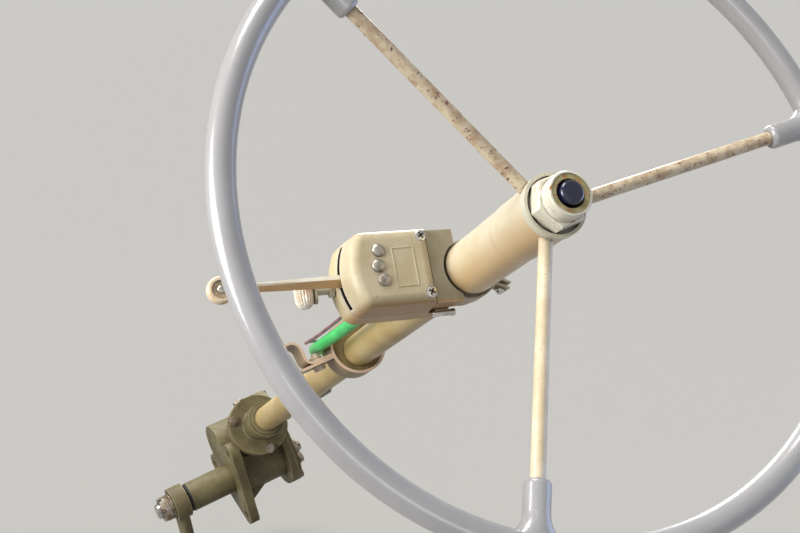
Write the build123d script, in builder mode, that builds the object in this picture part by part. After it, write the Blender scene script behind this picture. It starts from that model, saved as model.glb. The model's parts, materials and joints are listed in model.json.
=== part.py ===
from build123d import *
from math import cos, hypot, radians, sin, sqrt, tan
import os

# Steering wheel, column, turn-signal switch and steering gear of a light army 4x4 car, in mm.
# +X is the car's right, +Y is forwards and +Z is up. The origin is on the frame rail's face,
# on the axis of the sector shaft. Heights on the column are measured along it from the gear,
# and depths are measured down it from the plane of the wheel's rim.

os.makedirs("parts", exist_ok=True)

# Clearances
SLIDE = 0.05  # round a shaft, tube or rod in its bore
SEAT = 0.2  # beside a piece that lies in a pocket or recess

# Where things lie
RAKE = 42  # column above level, degrees
COLUMN_ASIDE = 46  # column axis from the frame's face
SHAFT_DROP = 44  # sector shaft under the column axis, square to it
RIM_HEIGHT = 914  # rim's plane up the column from the sector shaft

# Wheel
WHEEL_DIAMETER = 438
RIM_SECTION_R = 8.7
RIM_R = WHEEL_DIAMETER / 2 - RIM_SECTION_R
SPOKE_R = 4.5
SPOKE_ANGLES = (-5.2, 114.8, 234.8)  # from the car's right, round the column
SPOKE_DEPTH = 22.7  # spoke's centre line at its root, under the rim's plane
SPOKE_ROOT = 12.5  # spoke's inner end from the column axis
SOCKET_REACH = 39  # socket's mouth, inwards from the rim's centre line
SOCKET_R = 8.1
SOCKET_ROUND = 3.2  # at its mouth
# Sections of a socket's flare: distance from the rim's centre line, half width, half thickness
SOCKET_FLARE = ((20, 8.1, 8.1), (13, 9.8, 8.2), (7, 15, 8.3), (0, 29, 8.5))

# Hub, nut and horn button
HUB_R = 20
HUB_RING_R = 21.5
HUB_RING_WIDTH = 2.2
HUB_TOP = 12  # depth of the ring's top
HUB_RING_DEPTH = 5
HUB_RECESS = 3
HUB_SOLID = 50  # length of hub that sits on the shaft
HUB_RING_SLOPE = 1  # under the ring
HUB_STEP = 0.5  # hub's boss over its skirt
HUB_STEP_RUN = 4
SKIRT_END = 147
SKIRT_WALL = 3
SKIRT_ROUND = 2.4
NUT_CORNER_R = 18.8
NUT_HEX = 13
NUT_CHAMFER = 0.9
NUT_COLLAR_R = 14.7
NUT_TOP = 9  # collar's top above the rim's plane
NUT_ROUND = 1
HORN_CUP_R = 13.1
HORN_CUP_DEPTH = 10
HORN_RING_HOLE_R = 9.2
HORN_RING_SINK = 0.6
HORN_RING_ROUND = 0.8
BUTTON_R = 8
BUTTON_PROUD = 3
BUTTON_ROUND = 2.4

# Shaft, jacket and bearing
SHAFT_R = 9.5
SHAFT_END = -28  # shaft's lower end on the column, in the gear
JACKET_R = 15
JACKET_WALL = 1.6
JACKET_TOP = 104  # depth
BEARING_LENGTH = 26
BEARING_LIP = 2

# Turn-signal switch, on planes whose x runs out from the column and y down across it
SWITCH_TURN = 162.9  # from the car's right, round the column
SWITCH_NEAR = 32  # cover's near edge
SWITCH_FAR = 97  # cover's rounded far end
SWITCH_HALF = 29
SWITCH_SHIFT = -2.5  # middle of the switch across the column
SWITCH_DEPTH = 135
END_R = 52  # bow of the far end
CORNER_R = 11
COVER_HEIGHT = 31
COVER_DRAFT = 4
COVER_ROUND = 7.5
BASE_HEIGHT = 17
SADDLE_NEAR = 11
SADDLE_DEPTH = 144
SADDLE_FOOT = 160
SADDLE_NARROWER = 2  # at each side than the cover
SADDLE_GAP = 2.2  # round the hub's skirt
BASE_NEAR = 17  # near edge of the base's lower part
BASE_ROUND = 2
COLLAR_R = 21
COLLAR_DEPTH = 153
COLLAR_FOOT = 176
BAND_THICKNESS = 1.4
BAND_WIDTH = 13
BAND_DEPTH = 151
LUG_TURN = 155
LUG_REACH = 13
LUG_GAP = 3
LUG_TUCK = 1  # lug's root inside the band
BAND_SCREW_R = 2
BAND_SCREW_IN = 6  # from the lugs' ends
BAND_SCREW_PROUD = 4
BAND_HEAD_R = 4
BAND_HEAD = 2.5
SLOT_DEPTH = 156.5
SLOT_HEIGHT = 5
SLOT_IN = 9
SLOT_WALL = 2  # cover's wall beside the slot
SLOT_HALF = 23
# Rivet heads on the cover: out, across
RIVETS = ((73.2, -14.6), (75.2, -3.4), (72.4, 6.8))
RIVET_R = 4.6
RIVET_PROUD = 2
RIVET_ROUND = 1.8
# Cover screws: out, across
COVER_SCREWS = ((39.4, -23.6), (38.4, 18))
SCREW_HEAD_R = 4.2
SCREW_SINK = 2  # depth of the screws' seats
SCREW_HEAD = 2.4

# Lever, knob and lamp
LEVER_REACH = 172
LEVER_THICKNESS = 4.4
# Lever's upper and lower edge across the switch, at its root and at its knob
LEVER_ROOT_EDGES = (-5, 3.6)
LEVER_KNOB_EDGES = (-4.2, 1)
LEVER_BEVEL = (4.8, 3.6)  # its long bevel, across and down
KNOB_ACROSS = -1.4
KNOB_R = 9.6
KNOB_THICKNESS = 7
KNOB_ROUND = 2
KNOB_DISH_R = 6.6
KNOB_DISH = 2.2
KNOB_SCREW_R = 2.6
LAMP_OUT = 119.2
LAMP_ACROSS = -1.8
LAMP_R = 6.9
LAMP_WALL = 6  # length of the lens before its dome
LAMP_LENGTH = 15.5
HOLDER_R = 3
HOLDER_ACROSS = 1.2
HOLDER_TUCK = 5  # holder's rod inside the base
HOLDER_NUT_R = 5.5
HOLDER_NUT = 3
HOLDER_CAP = 4
HOLDER_CAP_R = 7.4
HOLDER_ARM = 2  # thickness of the arm beside the lens
HOLDER_ARM_R = 4.2

# Wires: sideways, off the column, depth, in car's right and square to the column
LOOM_R = 5.5
LAMP_WIRE_R = 1.6
CONNECTOR_DEPTH = 613
CONNECTOR_SIZE = (14, 26, 34)
CONNECTOR_ROUND = 3
CONNECTOR_SHIFT = 1
CLIP_WIDTH = 12
CLIP_THICKNESS = 1.2

# Dash clamp
STRIP_THICKNESS = 2.5
STRIP_WIDTH = 25
STRIP_DEPTH = 437  # lower edge
HOOP_R = 24.8  # ring that the strip and the strap make round the jacket
EAR_LEVEL = 5  # where the strip and the strap meet
EAR_BOLT = 40
RISER_OUT = 54
DASH_LEVEL = 30
DASH_HOLE_OUT = 68
DASH_REACH = 80
STRAP_REACH = 60
LINER_IN = 6  # liner's edge inside the strap's
DASH_HOLE_R = 4.5
EAR_BOLT_R = 3
BEND_R = 8
EAR_HEX_R = 6
EAR_HEX_HEIGHT = 4.5

# Steering gear
BARREL_R = 30
BARREL_DOWN = 58
BARREL_UP = 64
BARREL_FLANGE_R = 38
BARREL_FLANGE = 9
CHAMBER_OUT = 80
CHAMBER_SHAFT_R = 27
COVER_FLANGE = 9
SIDE_COVER = 6
SIDE_ROUND = 2
FLANGE_THICKNESS = 12
FLANGE_PCD = 104
FLANGE_HOLE_R = 5.5
FLANGE_EAR_R = 14
FLANGE_TURNS = (228, 348, 108)
RIB = 7
RIB_REACH = 41  # from the sector shaft, short of the bolts' heads
RIB_RISE = 38  # from the frame's face, on the chamber
TUBE_R = 19
TUBE_LENGTH = 58
NECK_R = 19.5
NECK_LENGTH = 48
NECK_ROUND = 3
NECK_PLATE = 6
NECK_BOLT_R = 33.5
NECK_BOLT_COUNT = 3
NECK_BOLT_TURN = 30
NECK_HEX_R = 6
CLAMP_BAND = 3
CLAMP_BAND_WIDTH = 18
CLAMP_DROP = 4  # clamp's edge below the neck's end
CLAMP_TUCK = 1  # lug's root inside the clamp
COVER_HEX_R = 7
COVER_BOLT_TURNS = (-62, 0, 62)
COVER_LIP = 14
BARREL_ROUND = 9
ADJUSTER_BOSS_R = 17
ADJUSTER_BOSS = 7
ADJUSTER_DRAFT = 10
ADJUSTER_R = 6
ADJUSTER_PROUD = 11
ADJUSTER_SLOT = 2
ADJUSTER_SLOT_DEPTH = 3
NECK_SPLIT = 3
CLAMP_LUG = 16
PLUG_R = 9
PLUG_BOSS_R = 12
PLUG_BOSS = 3  # its face over the barrel
PLUG_WASHER = 3
PLUG_HEX_R = 8.1
PLUG_HEIGHT = 26
HORN_TUBE_R = 5
HORN_TUBE_LENGTH = 26
HEAD_THICKNESS = 6

# Sector shaft and drop arm
SECTOR_R = 11.1
THREAD_R = 9.5
THREAD_CHAMFER = 1
SECTOR_IN = 66
SEAL_R = 18
SEAL_THICKNESS = 3
ARM_GAP = 2.5
ARM_THICKNESS = 19
ARM_EYE_R = 22
ARM_WEB = 12
ARM_WEB_TOP_R = 18
ARM_WEB_END_R = 11
ARM_NUT_R = 17
ARM_LENGTH = 150
ARM_END_R = 15
ARM_END_THICKNESS = 14
NUT_THICKNESS = 13
WASHER_THICKNESS = 2.5
WASHER_R = 17
THREAD_PROUD = 5
BALL_R = 11
BALL_NECK_R = 7
BALL_OUT = 21
STUD_R = 8
STUD_NUT_R = 14
STUD_NUT = 7
STUD_PROUD = 2
BALL_COLLAR = 4
BALL_COLLAR_R = 13

# Every piece is modelled with the column upright: x is the car's right, y is square to the column
# and z runs up it from the gear. The finished piece is then leaned back by the column's rake.
UP_COLUMN = Vector(0, -cos(radians(RAKE)), sin(radians(RAKE)))
OFF_COLUMN = Vector(0, sin(radians(RAKE)), cos(radians(RAKE)))
FOOT = Vector(COLUMN_ASIDE, 0, 0) + OFF_COLUMN * SHAFT_DROP
RAKED = Location(Plane(origin=FOOT, x_dir=(1, 0, 0), z_dir=UP_COLUMN))
RIM_ALONG = Plane(origin=(0, 0, RIM_HEIGHT), x_dir=(1, 0, 0), z_dir=(0, -1, 0))  # y runs up


def under_rim(depth):
    """The plane square to the column at a depth under the rim's plane."""
    return Plane.XY.offset(RIM_HEIGHT - depth)


def around(turn):
    """The direction square to the column at an angle from the car's right."""
    return Vector(cos(radians(turn)), sin(radians(turn)), 0)


def switch_plane(depth):
    """The switch's plane at a depth: x runs out along the switch, y down across it."""
    return Plane(origin=(0, 0, RIM_HEIGHT - depth), x_dir=around(SWITCH_TURN), z_dir=(0, 0, 1))


def save(part, label):
    """Leans one finished piece back with the column, labels it and writes it."""
    placed = part.moved(RAKED)
    placed.label = label
    export_step(placed, f"parts/{label}.step")


# Spokes: each rises from its root in the hub to the rim's centre line
SPOKE_RUN = RIM_R - SPOKE_ROOT
SPOKE_LENGTH = hypot(SPOKE_RUN, SPOKE_DEPTH)
SPOKE_IN_RIM = 3.5  # spoke's end short of the rim's centre line


def spoke_plane(turn, out):
    """The plane square to a spoke, at a distance out from its root, with x along the rim."""
    lift = out * SPOKE_DEPTH / SPOKE_LENGTH - SPOKE_DEPTH
    radius = SPOKE_ROOT + out * SPOKE_RUN / SPOKE_LENGTH
    origin = around(turn) * radius + Vector(0, 0, RIM_HEIGHT + lift)
    facing = around(turn) * SPOKE_RUN + Vector(0, 0, SPOKE_DEPTH)
    return Plane(origin=origin, x_dir=around(turn + 90), z_dir=facing)


def spoke_side(turn):
    """The plane along a spoke, with x out along its axis from the root and y along the rim."""
    out = spoke_plane(turn, 0)
    return Plane(origin=out.origin, x_dir=out.z_dir, z_dir=out.y_dir * -1)


SPOKE_CORNER = Axis((0, 0, 0), (1, -1, 0))  # towards the socket's mouth and outside, reversed

with BuildPart() as wheel_rim:
    with BuildSketch(RIM_ALONG):
        with Locations((RIM_R, 0)):
            Circle(RIM_SECTION_R)
    revolve(axis=Axis.Z)
    for turn in SPOKE_ANGLES:
        for out, half_width, half_thickness in SOCKET_FLARE:
            with BuildSketch(spoke_plane(turn, SPOKE_LENGTH - out)):
                Ellipse(half_width, half_thickness)
        loft()
        with BuildSketch(spoke_side(turn)):
            with Locations((SPOKE_LENGTH - SOCKET_REACH, 0)):
                nose = Rectangle(SOCKET_REACH - SOCKET_FLARE[1][0], SOCKET_R, align=(Align.MIN, Align.MIN))
            fillet(nose.vertices().sort_by(SPOKE_CORNER)[0], SOCKET_ROUND)
        revolve(axis=Axis(spoke_side(turn).origin, spoke_side(turn).x_dir))
    for turn in SPOKE_ANGLES:
        with BuildSketch(spoke_plane(turn, SPOKE_LENGTH - SOCKET_REACH)):
            Circle(SPOKE_R + SLIDE)
        extrude(amount=SOCKET_REACH - SPOKE_IN_RIM + SEAT, mode=Mode.SUBTRACT)
save(wheel_rim.part, "wheel_rim")

for number, turn in enumerate(SPOKE_ANGLES, start=1):
    with BuildPart() as spoke:
        with BuildSketch(spoke_plane(turn, 0)):
            Circle(SPOKE_R)
        extrude(amount=SPOKE_LENGTH - SPOKE_IN_RIM)
    save(spoke.part, f"spoke_{number}")

# Hub: a boss on the shaft, with a recess for the nut and a skirt over the jacket's top
HUB_BASE = HUB_TOP + HUB_RECESS + HUB_SOLID  # depth where the skirt's bore starts
HUB_BORE_R = SHAFT_R + SLIDE
RECESS_R = HUB_RING_R - HUB_RING_WIDTH
with BuildPart() as wheel_hub:
    with BuildSketch(RIM_ALONG):
        with BuildLine():
            Polyline(
                (HUB_BORE_R, -HUB_TOP - HUB_RECESS),
                (RECESS_R, -HUB_TOP - HUB_RECESS),
                (RECESS_R, -HUB_TOP),
                (HUB_RING_R, -HUB_TOP),
                (HUB_RING_R, -HUB_TOP - HUB_RING_DEPTH),
                (HUB_R + HUB_STEP, -HUB_TOP - HUB_RING_DEPTH - HUB_RING_SLOPE),
                (HUB_R + HUB_STEP, -HUB_BASE),
                (HUB_R, -HUB_BASE - HUB_STEP_RUN),
                (HUB_R, -SKIRT_END),
                (HUB_R - SKIRT_WALL, -SKIRT_END),
                (HUB_R - SKIRT_WALL, -HUB_BASE),
                (HUB_BORE_R, -HUB_BASE),
                close=True,
            )
        make_face()
    revolve(axis=Axis.Z)
    hub_end = wheel_hub.edges().filter_by(GeomType.CIRCLE).group_by(Axis.Z)[0]
    fillet(hub_end.sort_by(SortBy.RADIUS)[-1], SKIRT_ROUND)
    for turn in SPOKE_ANGLES:
        with BuildSketch(spoke_plane(turn, -SEAT)):
            Circle(SPOKE_R + SLIDE)
        extrude(amount=HUB_RING_R, mode=Mode.SUBTRACT)
save(wheel_hub.part, "wheel_hub")

# Nut: a hexagon under a round collar, bored for the shaft and cupped for the horn button
NUT_BASE = HUB_TOP + HUB_RECESS
CUP_FLOOR = NUT_TOP - HORN_CUP_DEPTH
with BuildPart() as hub_nut:
    with BuildSketch(under_rim(NUT_BASE)):
        RegularPolygon(NUT_CORNER_R, 6)
    extrude(amount=NUT_HEX)
    chamfer(hub_nut.faces().sort_by(Axis.Z)[-1].edges(), NUT_CHAMFER)
    with BuildSketch(under_rim(NUT_BASE - NUT_HEX)):
        Circle(NUT_COLLAR_R)
    extrude(amount=NUT_BASE - NUT_HEX + NUT_TOP)
    fillet(hub_nut.faces().sort_by(Axis.Z)[-1].edges(), NUT_ROUND)
    with BuildSketch(under_rim(NUT_BASE)):
        Circle(SHAFT_R + SLIDE)
    extrude(amount=NUT_BASE + CUP_FLOOR, mode=Mode.SUBTRACT)
    with BuildSketch(under_rim(-CUP_FLOOR)):
        Circle(HORN_CUP_R)
    extrude(amount=HORN_CUP_DEPTH, mode=Mode.SUBTRACT)
save(hub_nut.part, "hub_nut")

RING_TOP = NUT_TOP - HORN_RING_SINK
with BuildPart() as horn_ring:
    with BuildSketch(under_rim(-CUP_FLOOR)):
        Circle(HORN_CUP_R - SLIDE)
        Circle(HORN_RING_HOLE_R, mode=Mode.SUBTRACT)
    extrude(amount=RING_TOP - CUP_FLOOR)
    fillet(horn_ring.faces().sort_by(Axis.Z)[-1].edges().sort_by(SortBy.RADIUS)[0], HORN_RING_ROUND)
save(horn_ring.part, "horn_ring")

with BuildPart() as horn_button:
    with BuildSketch(under_rim(-CUP_FLOOR)):
        Circle(BUTTON_R)
    extrude(amount=NUT_TOP + BUTTON_PROUD - CUP_FLOOR)
    fillet(horn_button.faces().sort_by(Axis.Z)[-1].edges(), BUTTON_ROUND)
save(horn_button.part, "horn_button")

with BuildPart() as steering_shaft:
    with BuildSketch(Plane.XY.offset(SHAFT_END)):
        Circle(SHAFT_R)
    extrude(amount=RIM_HEIGHT + CUP_FLOOR - SHAFT_END)
save(steering_shaft.part, "steering_shaft")

# Jacket: a plain tube from the gear's neck to under the hub's skirt
NECK_FLOOR = BARREL_UP + NECK_PLATE
with BuildPart() as column_jacket:
    with BuildSketch(Plane.XY.offset(NECK_FLOOR)):
        Circle(JACKET_R)
        Circle(JACKET_R - JACKET_WALL, mode=Mode.SUBTRACT)
    extrude(amount=RIM_HEIGHT - JACKET_TOP - NECK_FLOOR)
save(column_jacket.part, "column_jacket")

with BuildPart() as upper_bearing:
    with BuildSketch(under_rim(JACKET_TOP + BEARING_LENGTH)):
        Circle(JACKET_R - JACKET_WALL - SLIDE)
    extrude(amount=BEARING_LENGTH)
    with BuildSketch(under_rim(JACKET_TOP)):
        Circle(JACKET_R)
    extrude(amount=BEARING_LIP)
    with BuildSketch(under_rim(JACKET_TOP + BEARING_LENGTH)):
        Circle(SHAFT_R + SLIDE)
    extrude(amount=BEARING_LENGTH + BEARING_LIP, mode=Mode.SUBTRACT)
save(upper_bearing.part, "upper_bearing")

# Turn-signal base and cover: square at the column, bowed at the far end
END_X = SWITCH_FAR - END_R
END_START = END_X + sqrt(END_R**2 - SWITCH_HALF**2)
COVER_FOOT = SWITCH_DEPTH + COVER_HEIGHT
BASE_FOOT = COVER_FOOT + BASE_HEIGHT
SWITCH_LOW = SWITCH_SHIFT - SWITCH_HALF
SWITCH_HIGH = SWITCH_SHIFT + SWITCH_HALF
FAR_ARC = ((END_START, SWITCH_LOW), (SWITCH_FAR, SWITCH_SHIFT), (END_START, SWITCH_HIGH))

LAMP_DEPTH = BASE_FOOT - BASE_HEIGHT / 2
LAMP_PLANE = Plane(
    origin=switch_plane(LAMP_DEPTH).from_local_coords(Vector(LAMP_OUT, LAMP_ACROSS, 0)),
    x_dir=around(SWITCH_TURN),
    z_dir=around(SWITCH_TURN + 90),
)
HOLDER_PLANE = Plane(
    origin=switch_plane(LAMP_DEPTH).from_local_coords(Vector(SWITCH_FAR, HOLDER_ACROSS, 0)),
    x_dir=(0, 0, 1),
    z_dir=around(SWITCH_TURN),
)

with BuildPart() as switch_base:
    with BuildSketch(switch_plane(BASE_FOOT)):
        with BuildLine():
            Polyline(FAR_ARC[2], (BASE_NEAR, SWITCH_HIGH), (BASE_NEAR, SWITCH_LOW), FAR_ARC[0])
            ThreePointArc(*FAR_ARC)
        outline = make_face()
        fillet(outline.vertices().group_by(Axis.X)[-1], CORNER_R)
    extrude(amount=BASE_HEIGHT)
    fillet(switch_base.faces().sort_by(Axis.Z)[0].edges(), BASE_ROUND)
    for near, foot in ((SADDLE_NEAR, SADDLE_FOOT), (BASE_NEAR, COVER_FOOT)):
        with BuildSketch(switch_plane(foot)):
            with Locations(((near + SWITCH_NEAR - SEAT) / 2, SWITCH_SHIFT)):
                Rectangle(SWITCH_NEAR - SEAT - near, 2 * (SWITCH_HALF - SADDLE_NARROWER))
        extrude(amount=foot - SADDLE_DEPTH)
    with BuildSketch(switch_plane(COLLAR_FOOT)):
        Circle(COLLAR_R)
    extrude(amount=COLLAR_FOOT - COLLAR_DEPTH)
    with BuildSketch(switch_plane(COLLAR_DEPTH)):
        Circle(HUB_R + SADDLE_GAP)
    extrude(amount=COLLAR_DEPTH, mode=Mode.SUBTRACT)
    with BuildSketch(switch_plane(BASE_FOOT)):
        Circle(JACKET_R + SLIDE)
    extrude(amount=BASE_HEIGHT + COVER_HEIGHT, mode=Mode.SUBTRACT)
    with BuildSketch(switch_plane(BAND_DEPTH + BAND_WIDTH + SEAT)):
        Circle(COLLAR_R + BAND_THICKNESS + SEAT)
        Circle(COLLAR_R, mode=Mode.SUBTRACT)
    extrude(amount=BAND_WIDTH + 2 * SEAT, mode=Mode.SUBTRACT)
    with BuildSketch(HOLDER_PLANE):
        Circle(HOLDER_R + SLIDE)
    extrude(amount=HOLDER_TUCK + SEAT, both=True, mode=Mode.SUBTRACT)
save(switch_base.part, "switch_base")

SLOT_R = END_R - SLOT_IN
with BuildPart() as switch_cover:
    with BuildSketch(switch_plane(COVER_FOOT)):
        with BuildLine():
            Polyline(FAR_ARC[2], (SWITCH_NEAR, SWITCH_HIGH), (SWITCH_NEAR, SWITCH_LOW), FAR_ARC[0])
            ThreePointArc(*FAR_ARC)
        outline = make_face()
        fillet(outline.vertices().group_by(Axis.X)[-1], CORNER_R)
    extrude(amount=COVER_HEIGHT, taper=COVER_DRAFT)
    fillet(switch_cover.faces().sort_by(Axis.Z)[-1].edges(), COVER_ROUND)
    with BuildSketch(switch_plane(SLOT_DEPTH + SLOT_HEIGHT)):
        with Locations((END_X, SWITCH_SHIFT)):
            Circle(END_R + SLOT_IN)
            Circle(SLOT_R, mode=Mode.SUBTRACT)
        with Locations((END_X + END_R, SWITCH_SHIFT)):
            Rectangle(END_R, 2 * SLOT_HALF, mode=Mode.INTERSECT)
    extrude(amount=SLOT_HEIGHT, mode=Mode.SUBTRACT)
    with BuildSketch(switch_plane(COVER_FOOT)):
        with Locations((END_X, SWITCH_SHIFT)):
            Circle(END_R - SLOT_WALL)
            Circle(SLOT_R, mode=Mode.SUBTRACT)
        with Locations((END_X + END_R, SWITCH_SHIFT)):
            Rectangle(END_R, 2 * SLOT_HALF, mode=Mode.INTERSECT)
    extrude(amount=COVER_FOOT - SLOT_DEPTH, mode=Mode.SUBTRACT)
    for out, across in RIVETS:
        with BuildSketch(switch_plane(SWITCH_DEPTH)):
            with Locations((out, across)):
                Circle(RIVET_R)
        extrude(amount=RIVET_PROUD)
    fillet(switch_cover.faces().group_by(Axis.Z)[-1].edges(), RIVET_ROUND)
    for out, across in COVER_SCREWS:
        with BuildSketch(switch_plane(SWITCH_DEPTH + SCREW_SINK)):
            with Locations((out, across)):
                Circle(SCREW_HEAD_R + SEAT)
        extrude(amount=COVER_ROUND, mode=Mode.SUBTRACT)
save(switch_cover.part, "switch_cover")

with BuildPart() as cover_screws:
    with BuildSketch(switch_plane(SWITCH_DEPTH + SCREW_SINK)):
        with Locations(*COVER_SCREWS):
            Circle(SCREW_HEAD_R)
    extrude(amount=SCREW_HEAD)
save(cover_screws.part, "cover_screws")

# Clamp band: a thin strap round the collar, drawn together by a screw through two lugs
BAND_R = COLLAR_R + BAND_THICKNESS
LUG_MIDDLE = BAND_R - LUG_TUCK + LUG_REACH / 2
LUG_LEVEL = (LUG_GAP + BAND_THICKNESS) / 2
BAND_SCREW_OUT = BAND_R + LUG_REACH - BAND_SCREW_IN
BAND_MIDDLE = BAND_DEPTH + BAND_WIDTH / 2
with BuildPart() as clamp_band:
    with BuildSketch(switch_plane(BAND_DEPTH + BAND_WIDTH)):
        Circle(BAND_R)
        with Locations(Location((0, 0, 0), (0, 0, LUG_TURN))):
            with Locations((LUG_MIDDLE, LUG_LEVEL), (LUG_MIDDLE, -LUG_LEVEL)):
                Rectangle(LUG_REACH, BAND_THICKNESS)
        Circle(COLLAR_R + SLIDE, mode=Mode.SUBTRACT)
        with Locations(Location((0, 0, 0), (0, 0, LUG_TURN))):
            with Locations((BAND_R, 0)):
                Rectangle(LUG_REACH, LUG_GAP, mode=Mode.SUBTRACT)
    extrude(amount=BAND_WIDTH)
    band_screw_point = switch_plane(BAND_MIDDLE).from_local_coords(
        Vector(BAND_SCREW_OUT, 0, 0).rotate(Axis.Z, LUG_TURN)
    )
    BAND_SCREW_PLANE = Plane(
        origin=band_screw_point, x_dir=(0, 0, 1), z_dir=around(SWITCH_TURN + LUG_TURN + 90)
    )
    with BuildSketch(BAND_SCREW_PLANE):
        Circle(BAND_SCREW_R + SLIDE)
    extrude(amount=LUG_REACH, both=True, mode=Mode.SUBTRACT)
save(clamp_band.part, "clamp_band")

LUG_SIDE = LUG_GAP / 2 + BAND_THICKNESS
with BuildPart() as band_screw:
    with BuildSketch(BAND_SCREW_PLANE):
        Circle(BAND_SCREW_R)
    extrude(amount=LUG_SIDE + BAND_SCREW_PROUD, both=True)
    with BuildSketch(BAND_SCREW_PLANE.offset(LUG_SIDE)):
        Circle(BAND_HEAD_R)
    extrude(amount=BAND_HEAD)
    with BuildSketch(BAND_SCREW_PLANE.offset(-LUG_SIDE)):
        RegularPolygon(BAND_HEAD_R, 6)
    extrude(amount=-BAND_HEAD)
save(band_screw.part, "band_screw")

# Lever: a bevelled blade out of the slot with a dished round knob on its end
LEVER_DEPTH = SLOT_DEPTH + (SLOT_HEIGHT - LEVER_THICKNESS) / 2 + LEVER_THICKNESS
LEVER_ROOT = END_X + SLOT_R + SEAT
KNOB_OUT = LEVER_REACH + KNOB_R - SEAT
KNOB_FOOT = LEVER_DEPTH + (KNOB_THICKNESS - LEVER_THICKNESS) / 2
KNOB_TOP = KNOB_FOOT - KNOB_THICKNESS
with BuildPart() as switch_lever:
    with BuildSketch(switch_plane(LEVER_DEPTH)):
        with BuildLine():
            Polyline(
                (LEVER_ROOT, LEVER_ROOT_EDGES[0]),
                (LEVER_REACH, LEVER_KNOB_EDGES[0]),
                (LEVER_REACH, LEVER_KNOB_EDGES[1]),
                (LEVER_ROOT, LEVER_ROOT_EDGES[1]),
                close=True,
            )
        make_face()
    extrude(amount=LEVER_THICKNESS)
    top_edges = switch_lever.faces().sort_by(Axis.Z)[-1].edges().sort_by(Edge.length)[-2:]
    lower_edge = top_edges.sort_by(Axis((0, 0, 0), around(SWITCH_TURN + 90)))[-1]
    chamfer(lower_edge, LEVER_BEVEL[0], LEVER_BEVEL[1], reference=switch_lever.faces().sort_by(Axis.Z)[-1])
    with BuildSketch(switch_plane(LEVER_DEPTH)):
        with Locations((KNOB_OUT, KNOB_ACROSS)):
            Circle(KNOB_R + SLIDE)
    extrude(amount=LEVER_THICKNESS, mode=Mode.SUBTRACT)
save(switch_lever.part, "switch_lever")

with BuildPart() as lever_knob:
    with BuildSketch(switch_plane(KNOB_FOOT)):
        with Locations((KNOB_OUT, KNOB_ACROSS)):
            Circle(KNOB_R)
    extrude(amount=KNOB_THICKNESS)
    fillet(lever_knob.edges(), KNOB_ROUND)
    with BuildSketch(switch_plane(KNOB_TOP + KNOB_DISH)):
        with Locations((KNOB_OUT, KNOB_ACROSS)):
            Circle(KNOB_DISH_R)
            Circle(KNOB_SCREW_R, mode=Mode.SUBTRACT)
    extrude(amount=KNOB_DISH, mode=Mode.SUBTRACT)
save(lever_knob.part, "lever_knob")

# Indicator lamp: a domed lens on the end of a short holder that is nutted into the base's far end
HOLDER_FACE = LAMP_OUT - LAMP_R - SEAT
HOLDER_CAP_SIDE = LAMP_ACROSS - HOLDER_CAP / 2 - HOLDER_ACROSS
with BuildPart() as lamp_holder:
    with BuildSketch(HOLDER_PLANE.offset(-HOLDER_TUCK)):
        Circle(HOLDER_R)
    extrude(amount=HOLDER_TUCK + HOLDER_FACE - SWITCH_FAR)
    with BuildSketch(HOLDER_PLANE.offset(SEAT)):
        RegularPolygon(HOLDER_NUT_R, 6)
    extrude(amount=HOLDER_NUT)
    with BuildSketch(HOLDER_PLANE.offset(HOLDER_FACE - SWITCH_FAR)):
        Circle(HOLDER_ARM_R)
        with Locations((0, HOLDER_CAP_SIDE)):
            Circle(HOLDER_ARM_R)
        make_hull()
    extrude(amount=-HOLDER_ARM)
    with BuildSketch(LAMP_PLANE):
        Circle(HOLDER_CAP_R)
    extrude(amount=-HOLDER_CAP)
save(lamp_holder.part, "lamp_holder")

LENS_SIDE = Plane(origin=LAMP_PLANE.origin, x_dir=LAMP_PLANE.x_dir, z_dir=(0, 0, 1))
with BuildPart() as lamp_lens:
    with BuildSketch(LENS_SIDE):
        with BuildLine():
            Polyline((0, LAMP_LENGTH), (0, 0), (LAMP_R, 0), (LAMP_R, LAMP_WALL))
            Bezier(
                (LAMP_R, LAMP_WALL),
                (LAMP_R, (LAMP_WALL + LAMP_LENGTH) / 2),
                (LAMP_R / 2, LAMP_LENGTH),
                (0, LAMP_LENGTH),
            )
        make_face()
    revolve(axis=Axis(LAMP_PLANE.origin, LAMP_PLANE.z_dir))
save(lamp_lens.part, "lamp_lens")


def bend_radii(points):
    """Each corner's radius: 0.45 of the shorter run over the tangent of half the turn."""
    radii = []
    for before, here, after in zip(points, points[1:], points[2:]):
        arriving = Vector(*here) - Vector(*before)
        leaving = Vector(*after) - Vector(*here)
        half_turn = radians(arriving.get_angle(leaving)) / 2
        radii.append(0.45 * min(arriving.length, leaving.length) / tan(half_turn))
    return radii


# Wire routes: to the car's right, square off the column, and depth under the rim's plane
CONNECTOR_OUT = JACKET_R + SEAT + CONNECTOR_SIZE[0] / 2
LOOM_ROUTE = (
    (-31, 17, BASE_FOOT),
    (-31, 17, 224),
    (-26, 17.5, 276),
    (-24, 18, 326),
    (-27, 18, 372),
    (-32, 18.5, 410),
    (-31.5, 19.5, 440),
    (-22, 21.5, 468),
    (-8, 24, 494),
    (6, 23, 519),
    (17, 14, 544),
    (CONNECTOR_OUT, 4, 568),
    (CONNECTOR_OUT, -1, 592),
    (CONNECTOR_OUT, -1, CONNECTOR_DEPTH),
)
LAMP_WIRE_ROUTE = (
    (-34, 26, BASE_FOOT + SEAT),
    (-34, 26, 228),
    (-29, 27, 278),
    (-27, 27.5, 328),
    (-30, 27, 374),
    (-34.5, 27, 412),
    (-34, 29, 443),
    (-26, 32, 472),
    (-11, 35, 498),
    (6, 34, 524),
    (20, 25, 549),
    (26, 14, 571),
    (CONNECTOR_OUT, 9, 592),
    (CONNECTOR_OUT, 9, CONNECTOR_DEPTH),
)


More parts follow.
